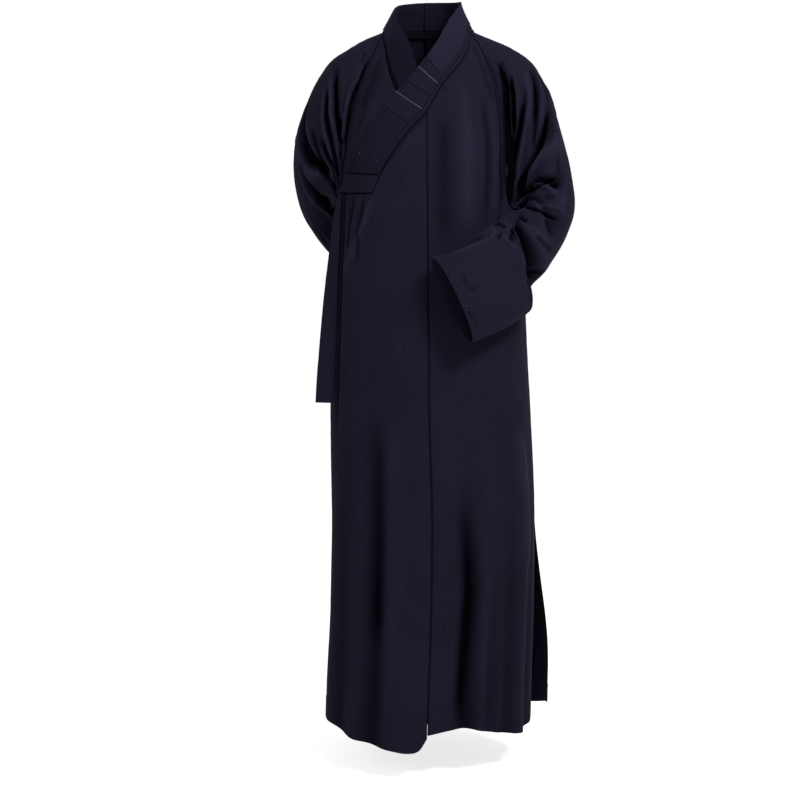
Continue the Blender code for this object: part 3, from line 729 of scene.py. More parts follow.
def back_panel(name, armhole, sign, laps):
    """One half of the back, from the seam in its middle to the side."""
    underarm = armhole[0].height

    def place(share, height):
        start = 180.0 - 0.004
        angle = start + (side_edge(armhole, 3, height, underarm + 0.032) - start) * share
        rise = (neck_seam(sign * angle) - 2 * SEAM - NECK_SEAM) * ease(height, -0.08, NECK_SEAM)
        out = hem_rise(height, HEM_NEAR)
        if sign > 0:
            out += BACK_FLARE * ease(angle, 135.0, 95.0) * ease(height, -0.94, -1.30)
            rise += BACK_CORNER * ease(angle, 112.0, 92.0) * ease(height, -1.0, HEM_NEAR)
        return body_point(sign * angle, height + rise, out)

    rows = level_rows(NECK_SEAM, underarm + 0.006, 0.008)
    rows += level_rows(underarm, SLIT_TOP, 0.009) + hem_rows(SLIT_TOP - 0.008, HEM_NEAR)
    HEM_PATHS[name] = [place(share, HEM_NEAR + HEM_TURN) for share in PATH_SHARES]
    cloth(name, place, close_to_ends(0.0, 1.0, 62), rows, dips="lb", laps=laps)


back_panel("back_left", ARMHOLE_LEFT, 1, "lb")
back_panel("back_right", ARMHOLE_RIGHT, -1, "b")

# %% [markdown]
# ## The collar band
# The band is folded cloth, quilted where it crosses the chest with close lines of running stitch. The lines
# pull the cloth in, so the band has fine ridges there.

# %% Collar band
BAND_QUILT = (15.15, 17.93)
QUILT_LINES = 13
STRIP = 0.14
EDGE_STRIP = 0.925
STRIP_DEPTH = 0.0011
QUILT_DEPTH = 0.0007
# RELIEF_SHADE and UNDER_SHADE set painted shade on the bands: in their grooves and on the side in shadow.
RELIEF_SHADE = 3.5
UNDER_SHADE = 0.0048
NECK_PART = spread(0.0006, 7.0, 60)
NAPE_LAP = 2.0


def band_point(bands, layer, row, across, out):
    """A point on a collar band: across is 0 at its seam and 1 at the neck."""
    low = min(int(row), len(bands) - 2)
    here = Band(*(one + (two - one) * (row - low) for one, two in zip(bands[low], bands[low + 1])))
    angle = here.seam_angle + (here.edge_angle - here.seam_angle) * across
    height = here.seam_height + (here.edge_height - here.seam_height) * across
    return body_point(angle, height, layer(angle) + out)


def band_relief(row, across):
    """Stitched grooves along a band."""
    strip = math.exp(-(((across - STRIP) / 0.022) ** 2))
    strip += math.exp(-(((across - EDGE_STRIP) / 0.018) ** 2)) * ease(row, GUARD_END, GUARD_END + 0.3)
    quilted = ease(row, BAND_QUILT[0], BAND_QUILT[0] + 0.05) * ease(row, BAND_QUILT[1], BAND_QUILT[1] - 0.05)
    line = across * (QUILT_LINES + 1)
    valley = math.exp(-(((line - round(line)) / 0.26) ** 2)) * quilted
    return -STRIP_DEPTH * strip * (1.0 - 0.5 * quilted) - QUILT_DEPTH * valley


def band_piece(name, bands, layer, rows, across, out, wall=WALL, dips="", laps="", relief=None, under=0.0):
    """A piece of a collar band; under is how much painted shade darkens it from row 5 on, standing for the
    shadow it lies in.
    """
    def place(column, row):
        more = relief(row, column) if relief else 0.0
        return band_point(bands, layer, row, column, out + more)

    def folded(column, row, point, normal):
        # Stitched grooves and the shaded side get painted shade through the fold depth.
        deep = RELIEF_SHADE * relief(row, column) if relief else 0.0
        return point, deep - under * ease(row, 5.0, 9.0)

    cloth(name, place, across, rows, wall=wall, dips=dips, laps=laps, lap_until=NAPE_LAP, folds=folded)


outer_rows = NECK_PART + spread(7.08, 15.0, 90) + spread(15.05, BAND_END - 0.012, 70)
band_piece("band_outer", BAND_OUTER, upper_layer, outer_rows, spread(0.0, 1.0, 71), BAND_RISE, BAND_WALL,
           dips="lt", laps="bl", relief=band_relief)
band_piece("band_end", BAND_OUTER, upper_layer, close_to_ends(BAND_END + 0.012, BAND_END + 0.98, 16),
           close_to_ends(0.0, 1.0, 26), BAND_RISE, BAND_WALL, dips="lbt")
band_piece("band_under", BAND_UNDER, lower_layer, NECK_PART + spread(7.08, 13.0, 70),
           spread(0.0, 1.0, 51), BAND_RISE, BAND_WALL, dips="l", laps="l", relief=band_relief,
           under=UNDER_SHADE)

# %% [markdown]
# ## Neck guard and patches
# A washable strip covers the band at the neck, and two flat patches are sewn across the band below it.

# %% Guard and patches
ON_BAND = BAND_RISE + SEAM + WALL
band_piece("guard_outer", BAND_OUTER, upper_layer, NECK_PART + spread(7.08, GUARD_END, 50),
           close_to_ends(0.28, 1.0, 22), ON_BAND)
band_piece("guard_under", BAND_UNDER, lower_layer, NECK_PART + spread(7.08, 11.0, 50),
           close_to_ends(STRIP, 1.0, 24), ON_BAND, under=UNDER_SHADE)
for patch_name, patch_rows in PATCHES.items():
    band_piece(patch_name, BAND_OUTER, upper_layer, close_to_ends(*patch_rows, 20),
               close_to_ends(STRIP, 1.0, 26), ON_BAND)

# %% [markdown]
# ## The form of a sleeve
# A wide sleeve is a tube that bends with the arm. Its rings run from the shoulder to the cuff: one point
# over the elbow, one on the inside of the arm, and how far the tube bulges in front and behind.

# %% Sleeve rings
Ring = namedtuple("Ring", "at outer_x outer_y outer_z inner_x inner_y inner_z front back turn")
SLEEVE_LEFT = table(Ring, (
    (0, 88, 4, -14, 183, 0, -362, 66, 62, 0),
    (0.08, 122, 2, -26, 186, -2, -364, 68, 62, 0),
    (0.17, 161, -2, -43, 190, -6, -366, 70, 60, 0),
    (0.26, 196, -8, -66, 191, -14, -366, 71, 58, 0),
    (0.35, 218, -12, -96, 191, -24, -365, 70, 56, 0),
    (0.44, 241, -18, -150, 189, -36, -363, 68, 54, 0),
    (0.52, 260, -24, -218, 180, -58, -360, 64, 52, 0),
    (0.6, 272, -30, -290, 168, -77, -358, 60, 50, 4),
    (0.67, 276, -38, -356, 157, -94, -357, 56, 48, 8),
    (0.73, 256, -50, -415, 151, -104, -360, 54, 44, 10),
    (0.78, 226, -64, -463, 147, -114, -359, 50, 42, 12),
    (0.83, 195, -82, -503, 141, -126, -359, 46, 38, 14),
    (0.86, 197, -96, -542, 134, -139, -370, 44, 32, 16),
    (0.89, 179, -120, -558, 114, -152, -384, 42, 28, 18),
    (0.93, 145, -152, -578, 78, -168, -408, 40, 26, 20),
    (0.97, 106, -178, -592, 36, -178, -430, 38, 25, 22),
    (1, 78, -194, -602, 4, -184, -444, 36, 24, 24),
), "at turn")
SLEEVE_RIGHT = table(Ring, (
    (0, -90, 2, -14, -178, 4, -345, 60, 64, 0),
    (0.08, -120, 4, -24, -182, 8, -347, 62, 64, 0),
    (0.17, -154, 8, -42, -187, 14, -349, 62, 64, 0),
    (0.26, -189, 12, -64, -190, 22, -351, 62, 64, 0),
    (0.35, -213, 16, -94, -191, 32, -352, 60, 64, 0),
    (0.44, -240, 22, -147, -191, 44, -352, 58, 62, 0),
    (0.52, -260, 30, -202, -189, 58, -350, 56, 60, 0),
    (0.6, -267, 42, -262, -185, 74, -348, 54, 56, 0),
    (0.67, -262, 58, -316, -180, 92, -346, 50, 52, 0),
    (0.73, -249, 80, -364, -174, 110, -344, 46, 50, 0),
    (0.78, -230, 106, -404, -166, 126, -343, 42, 48, 0),
    (0.83, -203, 134, -444, -154, 142, -344, 36, 46, -6),
    (0.86, -176, 156, -470, -140, 154, -346, 32, 44, -10),
    (0.9, -130, 182, -502, -106, 172, -352, 28, 42, -14),
    (0.95, -75, 200, -532, -58, 186, -360, 26, 40, -18),
    (1, -20, 206, -554, -10, 192, -368, 25, 38, -20),
), "at turn")
SEAM_AT = 0.826
SEAM_LEAN = 0.052
CLEAR = 0.006
JOIN_END = 0.26
NECK_TURN = 150.0


def armhole_point(armhole, turn, out):
    """The edge of a sleeve at the body: turn is 0 at the underarm and 180 at the neck."""
    share = min(turn, 360.0 - turn)
    climb = [(row.turn, row.height) for row in armhole]
    height = curve(climb, 1, share)
    angle = curve(armhole, 2 if turn <= 180.0 else 3, height)
    out += TUCK * ease(share, 50.0, 20.0)
    if share > NECK_TURN:
        side = math.copysign(SIDE, angle)
        angle += (side - angle) * (share - NECK_TURN) / (180.0 - NECK_TURN)
        height = neck_seam(angle) - 2 * SEAM
        out *= ease(share, 178.0, 158.0)
    return body_point(angle, height, out)


def off_body(point, clear):
    """Moves a point out until it is clear of the gown's body."""
    if point.z < -1.4 or point.z > 0.03:
        return point
    width, depth, centre = body_section(point.z, point.y < 0)
    side, front = (point.x - centre) / (width + clear), -point.y / (depth + clear)
    reach = (abs(side)**ROUNDNESS + abs(front)**ROUNDNESS) ** (1.0 / ROUNDNESS)
    if reach >= 1.0:
        return point
    return Vector((centre + (point.x - centre) / reach, point.y / reach, point.z))


def ring_point(rings, turn, at):
    """A point on a sleeve's plain rings."""
    values = [curve(rings, column, at) for column in range(1, 10)]
    outer, inner = Vector(values[0:3]), Vector(values[3:6])
    half = (outer - inner) / 2.0
    axis = half.normalized()
    facing = math.radians(values[8])
    towards = Vector((math.sin(facing), -math.cos(facing), 0.0))
    towards = (towards - axis * towards.dot(axis)).normalized()
    bulge = values[6] if turn <= 180.0 else values[7]
    side, along = math.sin(math.radians(turn)), -math.cos(math.radians(turn))
    reach = (abs(side)**ROUNDNESS + abs(along)**ROUNDNESS) ** (-1.0 / ROUNDNESS)
    return (outer + inner) / 2.0 + half * along * reach + towards * bulge * side * reach


def sleeve_surface(rings, armhole, turn, at):
    """Smooth form of a sleeve: turn is 0 on its inner line and 180 on its outer line."""
    point = ring_point(rings, turn, at)
    if at < JOIN_END:
        pull = armhole_point(armhole, turn, WALL + SEAM + TUCK) - ring_point(rings, turn, 0.0)
        point += pull * (1.0 - at / JOIN_END) ** 2
    if at <= 0.0:
        return point
    return off_body(point, WALL + SEAM + TUCK + (CLEAR - WALL - SEAM - TUCK) * ease(at, 0.0, 0.10))


print("left elbow:", tuple(round(v, 3) for v in ring_point(SLEEVE_LEFT, 180.0, 0.67)))

# %% [markdown]
# ## Folds of the sleeves
# Where an arm bends, the cloth inside the bend is squeezed into folds that fan out from it over the sleeve.
# The first tables hold the main folds. Each starts near the bend, at its low turn, and runs to its high turn.

# %% Main sleeve folds
SleeveFold = namedtuple("SleeveFold", "low_turn low_at mid_at high_turn high_at width depth roll")
FOLDS_LEFT = table(SleeveFold, (
    (34, 10, 85, 116, 135, 22, 9, 4),
    (50, 20, 150, 120, 220, 24, 8, 4),
    (84, 290, 320, 138, 310, 28, 8, 3),
    (32, 30, 370, 142, 435, 34, 14, 7),
    (30, 80, 500, 112, 585, 26, 13, 8),
    (36, 480, 672, 112, 700, 26, 6, 3),
    (30, 805, 815, 165, 845, 22, 12, -4),
    (225, 180, 180, 325, 60, 30, 9, 4),
    (215, 360, 340, 322, 140, 30, 12, 6),
    (240, 520, 480, 326, 260, 28, 10, 5),
    (222, 660, 640, 322, 480, 30, 12, 6),
), "low_turn high_turn")
FOLDS_RIGHT = table(SleeveFold, (
    (52, 5, 90, 118, 30, 20, 8, 3),
    (58, 70, 215, 146, 240, 22, 10, 4),
    (44, 50, 280, 130, 295, 24, 12, 5),
    (48, 140, 310, 98, 385, 22, 8, 3),
    (30, 60, 495, 160, 460, 28, 14, 7),
    (60, 690, 700, 112, 640, 40, 10, 0),
    (78, 800, 680, 142, 590, 28, 12, 6),
    (226, 130, 140, 322, 50, 26, 8, 4),
    (218, 430, 370, 328, 120, 34, 13, 6),
    (246, 585, 500, 328, 240, 28, 13, 7),
    (244, 700, 672, 324, 480, 28, 12, 6),
    (195, 845, 815, 330, 805, 22, 10, -4),
), "low_turn high_turn")


def sleeve_fold(folds, turn, at):
    """Depth of a sleeve's main folds here, inwards."""
    total = 0.0
    for fold in folds:
        share = (turn - fold.low_turn) / (fold.high_turn - fold.low_turn)
        if -0.2 < share < 1.2:
            straight = fold.low_at + (fold.high_at - fold.low_at) * share
            bow = fold.mid_at - (fold.low_at + fold.high_at) / 2.0
            away = (at - straight - 4.0 * bow * share * (1.0 - share)) / fold.width
            strength = ease(share, -0.15, 0.2) * ease(share, 1.15, 0.75)
            beside = away - math.copysign(1.6, fold.roll)
            total -= fold.depth * strength * math.exp(-away * away)
            total += abs(fold.roll) * strength * math.exp(-beside * beside)
    return total * ease(at, 0.0, 0.05)


print("main folds:", len(FOLDS_LEFT), "left,", len(FOLDS_RIGHT), "right")

# %% [markdown]
# The sharp cores of the folds come next, with the ridges between them, the small loops of cloth at the elbow
# and the folded edge of the cuff. A maker would mark them on the worn gown from the front, so their marks are
# given that way: millimetres across and up, as seen from the front. A depth below zero is a ridge.

# %% Folds marked from the front
FRONT_SCALE = (1.0, 1.0)
FRONT_LEFT = creases((
    ("raglan strip", 6.5, 17, 0, (132, -60), (147, -120), (152, -198), (152, -240), (153, -288),
     (156, -328), (150, -372)),
    ("second", 3.5, 10, 3, (156, -95), (161, -129), (163, -160), (163, -202)),
    ("second top loop", 2.5, 4, 0, (145, -71), (135, -79), (139, -91), (148, -110)),
    ("ridge beside second", 3.5, -4, 0, (142, -102), (152, -139), (156, -179), (160, -221)),
    ("third", 4, 11, 3, (182, -147), (176, -183), (169, -230), (163, -278), (164, -326)),
    ("fourth", 5, 6, 2, (192, -75), (204, -102), (207, -130), (204, -160), (199, -196)),
    ("broad ridge", 7, -4, 0, (183, -77), (188, -126), (190, -168), (186, -198)),
    ("long", 4.5, 12, 4, (235, -156), (225, -199), (208, -240), (192, -274), (174, -309), (164, -332)),
    ("outer line", 3, 4, 0, (208, -86), (224, -121), (235, -152)),
    ("outer ridge", 3, -4, 0, (216, -95), (231, -128), (241, -167), (246, -211), (251, -259), (254, -293)),
    ("outer valley", 3.5, 3, 0, (248, -240), (247, -269), (248, -290)),
    ("elbow crease", 3, 13, 3, (252, -292), (228, -299), (214, -307), (197, -318), (179, -332),
     (164, -343)),
    ("elbow pocket", 5, 5, 0, (205, -309), (187, -320), (172, -334)),
    ("loop hollow", 3, 6, 0, (232, -307), (242, -309), (252, -303)),
    ("loop ridge", 3, -4, 0, (224, -305), (236, -314), (250, -316), (265, -305)),
    ("under crease", 2.6, 11, -2, (169, -349), (177, -348), (195, -351), (213, -358), (233, -368),
     (256, -377)),
    ("under ridge", 4, -4, 0, (197, -345), (220, -346), (246, -352), (265, -370)),
    ("elbow soft", 5, 4, 0, (213, -331), (235, -330), (256, -332)),
    ("side triangle", 4, 7, 0, (168, -362), (178, -371), (188, -377)),
    ("forearm soft", 4, 4, 0, (199, -403), (217, -419), (236, -437)),
    ("forearm ridge", 4, -3, 0, (195, -384), (205, -399), (227, -419)),
    ("forearm upright", 5, 4, 0, (222, -369), (228, -388), (235, -411)),
    ("lower edge", 3, 5, 0, (193, -480), (208, -476), (220, -470)),
    ("lower edge ridge", 3, -3, 0, (193, -469), (208, -466), (228, -460)),
    ("seam shadow", 2.6, 6, 0, (160, -360), (168, -376), (177, -406), (185, -440), (189, -475),
     (189, -505)),
    ("seam ridge", 3.5, -4, 0, (153, -360), (162, -380), (171, -410), (179, -444), (183, -478)),
    ("triangle", 6, 7, 0, (162, -384), (157, -402), (157, -413)),
    ("triangle edge", 3, -4, 0, (131, -393), (144, -408), (157, -423), (169, -425)),
    ("triangle top", 2.5, -3, 0, (166, -374), (150, -386), (138, -395)),
    ("loop dark", 2.6, 7, 0, (117, -382), (128, -378), (139, -384), (146, -387)),
    ("loop dark 2", 2.6, 6, 0, (136, -395), (132, -402), (126, -406)),
    ("loop light", 3.5, -4, 0, (120, -385), (121, -398), (111, -409)),
    ("top strip", 4, 5, 0, (108, -400), (76, -410), (42, -428), (19, -437)),
    ("front top edge", 3, -4, 0, (115, -406), (83, -420), (56, -429), (21, -442)),
    ("cuff faint", 4, 2.5, 0, (58, -468), (63, -486), (73, -499), (94, -503)),
    ("cuff faint 2", 5, 1.8, 0, (60, -520), (75, -550), (94, -577)),
), FRONT_SCALE)
FRONT_RIGHT = creases((
    ("first", 4, 11, -4, (-110, -55), (-122, -78), (-133, -109), (-145, -131), (-153, -157), (-157, -186),
     (-162, -218), (-160, -249), (-162, -269)),
    ("small top", 3.5, 4, 0, (-124, -50), (-128, -63), (-131, -79)),
    ("second", 3.2, 11, -3, (-180, -83), (-184, -115), (-182, -146), (-182, -174), (-176, -199),
     (-170, -224), (-170, -243)),
    ("pocket", 4.5, 8, 0, (-172, -176), (-174, -195), (-172, -213)),
    ("second ridge", 3, -3.5, 0, (-174, -163), (-164, -178), (-162, -211), (-168, -257)),
    ("third", 3.2, 10, -3, (-196, -126), (-199, -151), (-199, -178), (-196, -203), (-190, -226)),
    ("fourth", 3.6, 10, -3, (-208, -224), (-200, -243), (-190, -264), (-180, -282), (-171, -295)),
    ("fifth", 4, 13, 4, (-245, -164), (-246, -200), (-240, -225), (-226, -255), (-212, -278), (-194, -299),
     (-177, -317)),
    ("fifth shade", 7, 6, 0, (-232, -191), (-224, -229), (-208, -264), (-191, -289)),
    ("triangle", 5, 8, 0, (-216, -331), (-201, -339), (-190, -353)),
    ("triangle edge", 2.6, 6, -3, (-226, -329), (-213, -343), (-200, -357), (-189, -373)),
    ("outer line", 3, 3, 0, (-253, -258), (-246, -285), (-232, -317)),
    ("outer ridge", 3.5, -3.5, 0, (-255, -196), (-259, -238), (-252, -281), (-239, -317)),
    ("lower ridge", 3, -3.5, 0, (-240, -375), (-222, -394), (-200, -418)),
    ("lower line", 2.6, 4, 0, (-236, -388), (-218, -406), (-203, -427)),
    ("shoulder ridge", 5, -3, 0, (-192, -95), (-190, -134), (-190, -178), (-184, -211)),
    ("front ridge", 3.5, -3, 0, (-139, -96), (-157, -134), (-162, -178), (-165, -240), (-170, -277)),
), FRONT_SCALE)
print("front folds:", len(FRONT_LEFT), "left,", len(FRONT_RIGHT), "right")

# %% [markdown]
# The backs of the sleeves have similar folds. Their marks are the turn round the sleeve and the place along
# it. All of them move the cloth along its own normal, and none may push it into the body.

# %% Folds behind, and the whole relief of a sleeve
SLEEVE_SCALE = (0.0015, 0.85)
BROAD_SHADE = 0.7
BACK_CREASES = creases((
    ("top", 9, 5, 2.6, (232, 0.1), (262, 0.12), (300, 0.05)),
    ("top ridge", 10, -4, 0, (226, 0.28), (258, 0.27), (304, 0.12)),
    ("middle", 7, 6, 2.8, (228, 0.46), (262, 0.43), (306, 0.22)),
    ("middle ridge", 9, -3.6, 0, (232, 0.6), (266, 0.58), (310, 0.4)),
    ("bend", 7, 5, 2.4, (236, 0.72), (268, 0.72), (306, 0.62)),
), SLEEVE_SCALE, units=(1, 1))


def sleeve_relief(folds, front, turn, at, point, normal):
    """How far the folds move a sleeve's cloth here, outwards, and how deep in a fold it lies, for the painted
    fold shade.
    """
    broad = sleeve_fold(folds, turn % 360.0, at)
    sharp = all_creases(BACK_CREASES, turn, at, SLEEVE_SCALE)
    facing = ease(-normal.y, -0.05, 0.25)
    marked = facing * all_creases(front, point.x, point.z, FRONT_SCALE) if facing > 0.0 else 0.0
    # The second value sets painted fold shade; broad folds give BROAD_SHADE of their depth to it.
    return broad + sharp + marked * ease(at, 0.0, 0.03), BROAD_SHADE * broad + sharp + marked


def sleeve_waves(turn, at):
    """The slight unevenness of a sleeve's loose cloth."""
    around = math.radians(turn)
    here = (math.sin(around) * 0.085, math.cos(around) * 0.085)
    wave = 0.0014 * noise.noise(Vector((here[0] / 0.035, here[1] / 0.035, at * 11.0)))
    wave += 0.0005 * noise.noise(Vector((here[0] / 0.012, here[1] / 0.012, at * 34.0)))
    return wave * ease(at, 0.0, 0.12)


print("folds behind:", len(BACK_CREASES), "on each sleeve")

# %% [markdown]
# ## The sleeves
# Each sleeve is two tubes, sewn together just past the bend. The lower one ends in the open cuff.

# %% Sleeves
TURN_STEP_FRONT = 1.32
TURN_STEP_BACK = 3.2


def seam_at(turn):
    """Where the lower sleeve starts at this turn."""
    return SEAM_AT + SEAM_LEAN * (0.5 - 0.5 * math.cos(math.radians(turn)))


def sleeve(side, rings, armhole, folds, front):
    """Upper and lower piece of one sleeve."""
    turns = spread(0.0, 180.0, round(180.0 / TURN_STEP_FRONT))
    turns += spread(180.0, 360.0, round(180.0 / TURN_STEP_BACK))[1:]

    def upper_at(turn, share):
        gap = 0.0008 + 0.0012 * ease(min(turn, 360.0 - turn), 60.0, 0.0)
        return (seam_at(turn) - gap) * share

    def lower_at(turn, share):
        start = seam_at(turn)
        return start + (1.0 - start) * share

    def piece(name, place_at, shares, dips, laps):
        def place(turn, share):
            return sleeve_surface(rings, armhole, turn % 360.0, place_at(turn % 360.0, share))

        def folded(turn, share, point, normal):
            turn = turn % 360.0
            at = place_at(turn, share)
            relief, depth = sleeve_relief(folds, front, turn, at, point, normal)
            spot = point + normal * (relief + sleeve_waves(turn, at))
            return off_body(spot, CLEAR * ease(at, 0.0, 0.10)), depth

        cloth(name, place, turns, shares, ring=True, dips=dips, laps=laps, folds=folded)

    piece("sleeve_" + side + "_upper", upper_at, close_to_ends(0.0, 1.0, 226), "t", "t")
    piece("sleeve_" + side + "_lower", lower_at, close_to_ends(0.0, 1.0, 60), "b", "")


sleeve("left", SLEEVE_LEFT, ARMHOLE_LEFT, FOLDS_LEFT, FRONT_LEFT)
sleeve("right", SLEEVE_RIGHT, ARMHOLE_RIGHT, FOLDS_RIGHT, FRONT_RIGHT)

# %% [markdown]
# ## The tie
# A flat ribbon, folded and pressed, hangs from the end of the band and turns out on its way down.

# %% Tie ribbon
RIBBON_WIDTH = 0.036
RIBBON_DROP = 0.408


def ribbon_place(across, along):
    height = OVERLAP_TOP - 0.001 - RIBBON_DROP * along
    off = 2 * SEAM + WALL + 0.0025 * ease(along, 0.0, 0.1)
    near = body_point(-64.5 - 2.0 * along, height, LAYER + off)
    turn = math.radians(24.0 + 52.0 * ease(along, 0.0, 1.0))
    width = 0.020 + (RIBBON_WIDTH - 0.020) * ease(along, 0.0, 0.15)
    return near + Vector((-math.sin(turn), math.cos(turn), 0.0)) * width * across


cloth("tie_ribbon", ribbon_place, close_to_ends(0.0, 1.0, 12), spread(0.0, 1.0, 80))

# %% [markdown]
# ## The weave
# Plain weave is threads going over and under, one by one. One node group draws it from the UV map, which is
# in metres. It gives a height for the bump, the streaks of thicker threads and the soft patches of fading.
# Short helpers add a node, feed its inputs and do sums.


# %% Weave group
THREAD = 0.0006
STREAK_SCALES = ((1700.0, 22.0, 1.0), (22.0, 1700.0, 1.0))


def feed_socket(socket, value):
    """Gives an input a value, or links it to the output that is its value."""
    if isinstance(value, bpy.types.NodeSocket):
        socket.id_data.links.new(value, socket)
    else:
        socket.default_value = value


def feed(node, **inputs):
    """Feeds the inputs of a node, named with _ for a space."""
    for name, value in inputs.items():
        feed_socket(node.inputs[name.replace("_", " ")], value)
    return node


def add(tree, kind, **inputs):
    """A new shader node with its inputs fed."""
    return feed(tree.nodes.new("ShaderNode" + kind), **inputs)


def maths(tree, operation, *values):
    """The result of a sum, worked out by a node."""
    node = add(tree, "Math")
    node.operation = operation
    for socket, value in zip(node.inputs, values):
        feed_socket(socket, value)
    return node.outputs[0]


def cloud(tree, place, scale, detail):
    return add(tree, "TexNoise", Vector=place, Scale=scale, Detail=detail).outputs["Fac"]


def weave_group():
    tree = bpy.data.node_groups.new("plain_weave", "ShaderNodeTree")
    for name, value in (("Thread", THREAD), ("Streak", 1.0)):
        socket = tree.interface.new_socket(name, in_out="INPUT", socket_type="NodeSocketFloat")
        socket.default_value = value
    for name in ("Height", "Streaks", "Fade"):
        tree.interface.new_socket(name, in_out="OUTPUT", socket_type="NodeSocketFloat")
    take = tree.nodes.new("NodeGroupInput").outputs
    uv_map = add(tree, "UVMap")
    uv_map.uv_map = "threads"
    uv = uv_map.outputs["UV"]
    parts = add(tree, "SeparateXYZ", Vector=uv).outputs
    turns = [maths(tree, "DIVIDE", parts[axis], take["Thread"]) for axis in ("X", "Y")]
    waves = [maths(tree, "SINE", maths(tree, "MULTIPLY", turn, math.pi)) for turn in turns]
    streaks = [cloud(tree, add(tree, "Mapping", Vector=uv, Scale=scale).outputs["Vector"], 1.0, 3.0)
               for scale in STREAK_SCALES]
    slubs = maths(tree, "SUBTRACT", cloud(tree, uv, 260.0, 2.0), 0.5)
    both = maths(tree, "SUBTRACT", maths(tree, "ADD", *streaks), 1.0)
    streak = maths(tree, "MULTIPLY", maths(tree, "ADD", both, slubs), take["Streak"])
    crossing = maths(tree, "MULTIPLY", maths(tree, "MULTIPLY", *waves), 0.5)
    place = add(tree, "TexCoord").outputs["Object"]
    feed(tree.nodes.new("NodeGroupOutput"), Height=maths(tree, "ADD", crossing, streak), Streaks=streak,
         Fade=cloud(tree, place, 7.0, 4.0))
    return tree


weave = weave_group()
print("weave outputs:", [item.name for item in weave.interface.items_tree])

# %% [markdown]
# ## Cloth finishes
# The cloth is matt. Threads differ a little in tone, and long wear and light fade it in soft patches. The
# bottoms of folds and seams get painted shade and the ridges of folds a painted highlight, and the sheen and
# specular follow the same painted scale. The soft glow of fibres is the sheen.


# %% Cloth materials
# Painted fold light: fold depths from DEEP_FOLD to HIGH_FOLD scale the colour from painted shade to painted
# highlight.
DEEP_FOLD = -0.0085
HIGH_FOLD = 0.0040
PAINTED_VALLEY_SHADE = 0.10
PAINTED_RIDGE_LIGHT = 1.36


def new_material(name):
    """A new material and its shader."""
    material = bpy.data.materials.new(name)
    material.use_nodes = True
    return material, material.node_tree.nodes["Principled BSDF"]


def cloth_material(name, dark, light, streak, bump, sheen):
    material, shader = new_material(name)
    tree = material.node_tree
    weaving = add(tree, "Group")
    weaving.node_tree = weave
    feed(weaving, Thread=THREAD, Streak=streak)
    threads = weaving.outputs
    ramp = add(tree, "ValToRGB", Fac=maths(tree, "MULTIPLY_ADD", threads["Streaks"], 1.1, threads["Fade"]))
    for element, position, colour in zip(ramp.color_ramp.elements, (0.20, 0.80), (dark, light)):
        element.position = position
        element.color = (*colour, 1.0)
    # The fold depth each point keeps gives painted shade in valleys and seam dips and a painted highlight on
    # ridges.
    fold = add(tree, "Attribute")
    fold.attribute_name = "fold"
    painted_fold_light = add(tree, "MapRange", Value=fold.outputs["Fac"], From_Min=DEEP_FOLD, From_Max=HIGH_FOLD,
               To_Min=PAINTED_VALLEY_SHADE, To_Max=PAINTED_RIDGE_LIGHT).outputs["Result"]
    faded = add(tree, "VectorMath")
    faded.operation = "SCALE"
    feed(faded, Vector=ramp.outputs["Color"], Scale=painted_fold_light)
    rough = add(tree, "MapRange", Value=threads["Fade"], To_Min=0.72, To_Max=0.94)
    relief = add(tree, "Bump", Strength=bump, Distance=0.0003, Height=threads["Height"])
    feed(shader, Base_Color=faded.outputs["Vector"], Roughness=rough.outputs["Result"],
         Normal=relief.outputs["Normal"], Specular_IOR_Level=maths(tree, "MULTIPLY", painted_fold_light, 0.10),
         Sheen_Weight=maths(tree, "MULTIPLY", painted_fold_light, sheen), Sheen_Roughness=0.45,
         Sheen_Tint=(0.55, 0.55, 0.90, 1.0))
    return material


FINISHES = {
    "gown_cloth": ((0.0070, 0.0066, 0.0165), (0.0125, 0.0119, 0.0280), 1.0, 0.5, 0.04),
    "band_cloth": ((0.0066, 0.0062, 0.0155), (0.0112, 0.0106, 0.0255), 0.8, 0.4, 0.04),
    "guard_cloth": ((0.0100, 0.0093, 0.0220), (0.0165, 0.0155, 0.0360), 0.8, 0.4, 0.05),
}
SLOTS = {"band": "band_cloth", "patch": "band_cloth", "guard": "guard_cloth"}
finishes = {slot: cloth_material(slot, *finish) for slot, finish in FINISHES.items()}
for name, piece in PIECES.items():
    slot = SLOTS.get(name.split("_")[0], "gown_cloth")
    piece.data.materials.append(finishes[slot])
print("finished", len(PIECES), "pieces of cloth")

# %% [markdown]
# ## The cut sizes
# Each piece was cut flat before it was sewn. This record holds such a flat size: the width and length of the
# rectangle that a piece fits in and its own area; each piece prints its own as it is made, and nothing here
# fills the record. A sleeve's width is all round it.

# %% Cut sizes
Sheet = namedtuple("Sheet", "piece width length area held rests_on", defaults=(None,))

# %% [markdown]
# ## Stitches
# Each stitch is a short raised thread. A line of them is laid along a path over the cloth, each one snapped
# to the surface below it and turned to follow the line.

# %% Stitch lines
thread, thread_shader = new_material("sewing_thread")
feed(thread_shader, Base_Color=(0.012, 0.0115, 0.024, 1.0), Roughness=0.7)
pale_thread, pale_shader = new_material("pale_edge")
feed(pale_shader, Base_Color=(0.085, 0.082, 0.112, 1.0), Roughness=0.7)


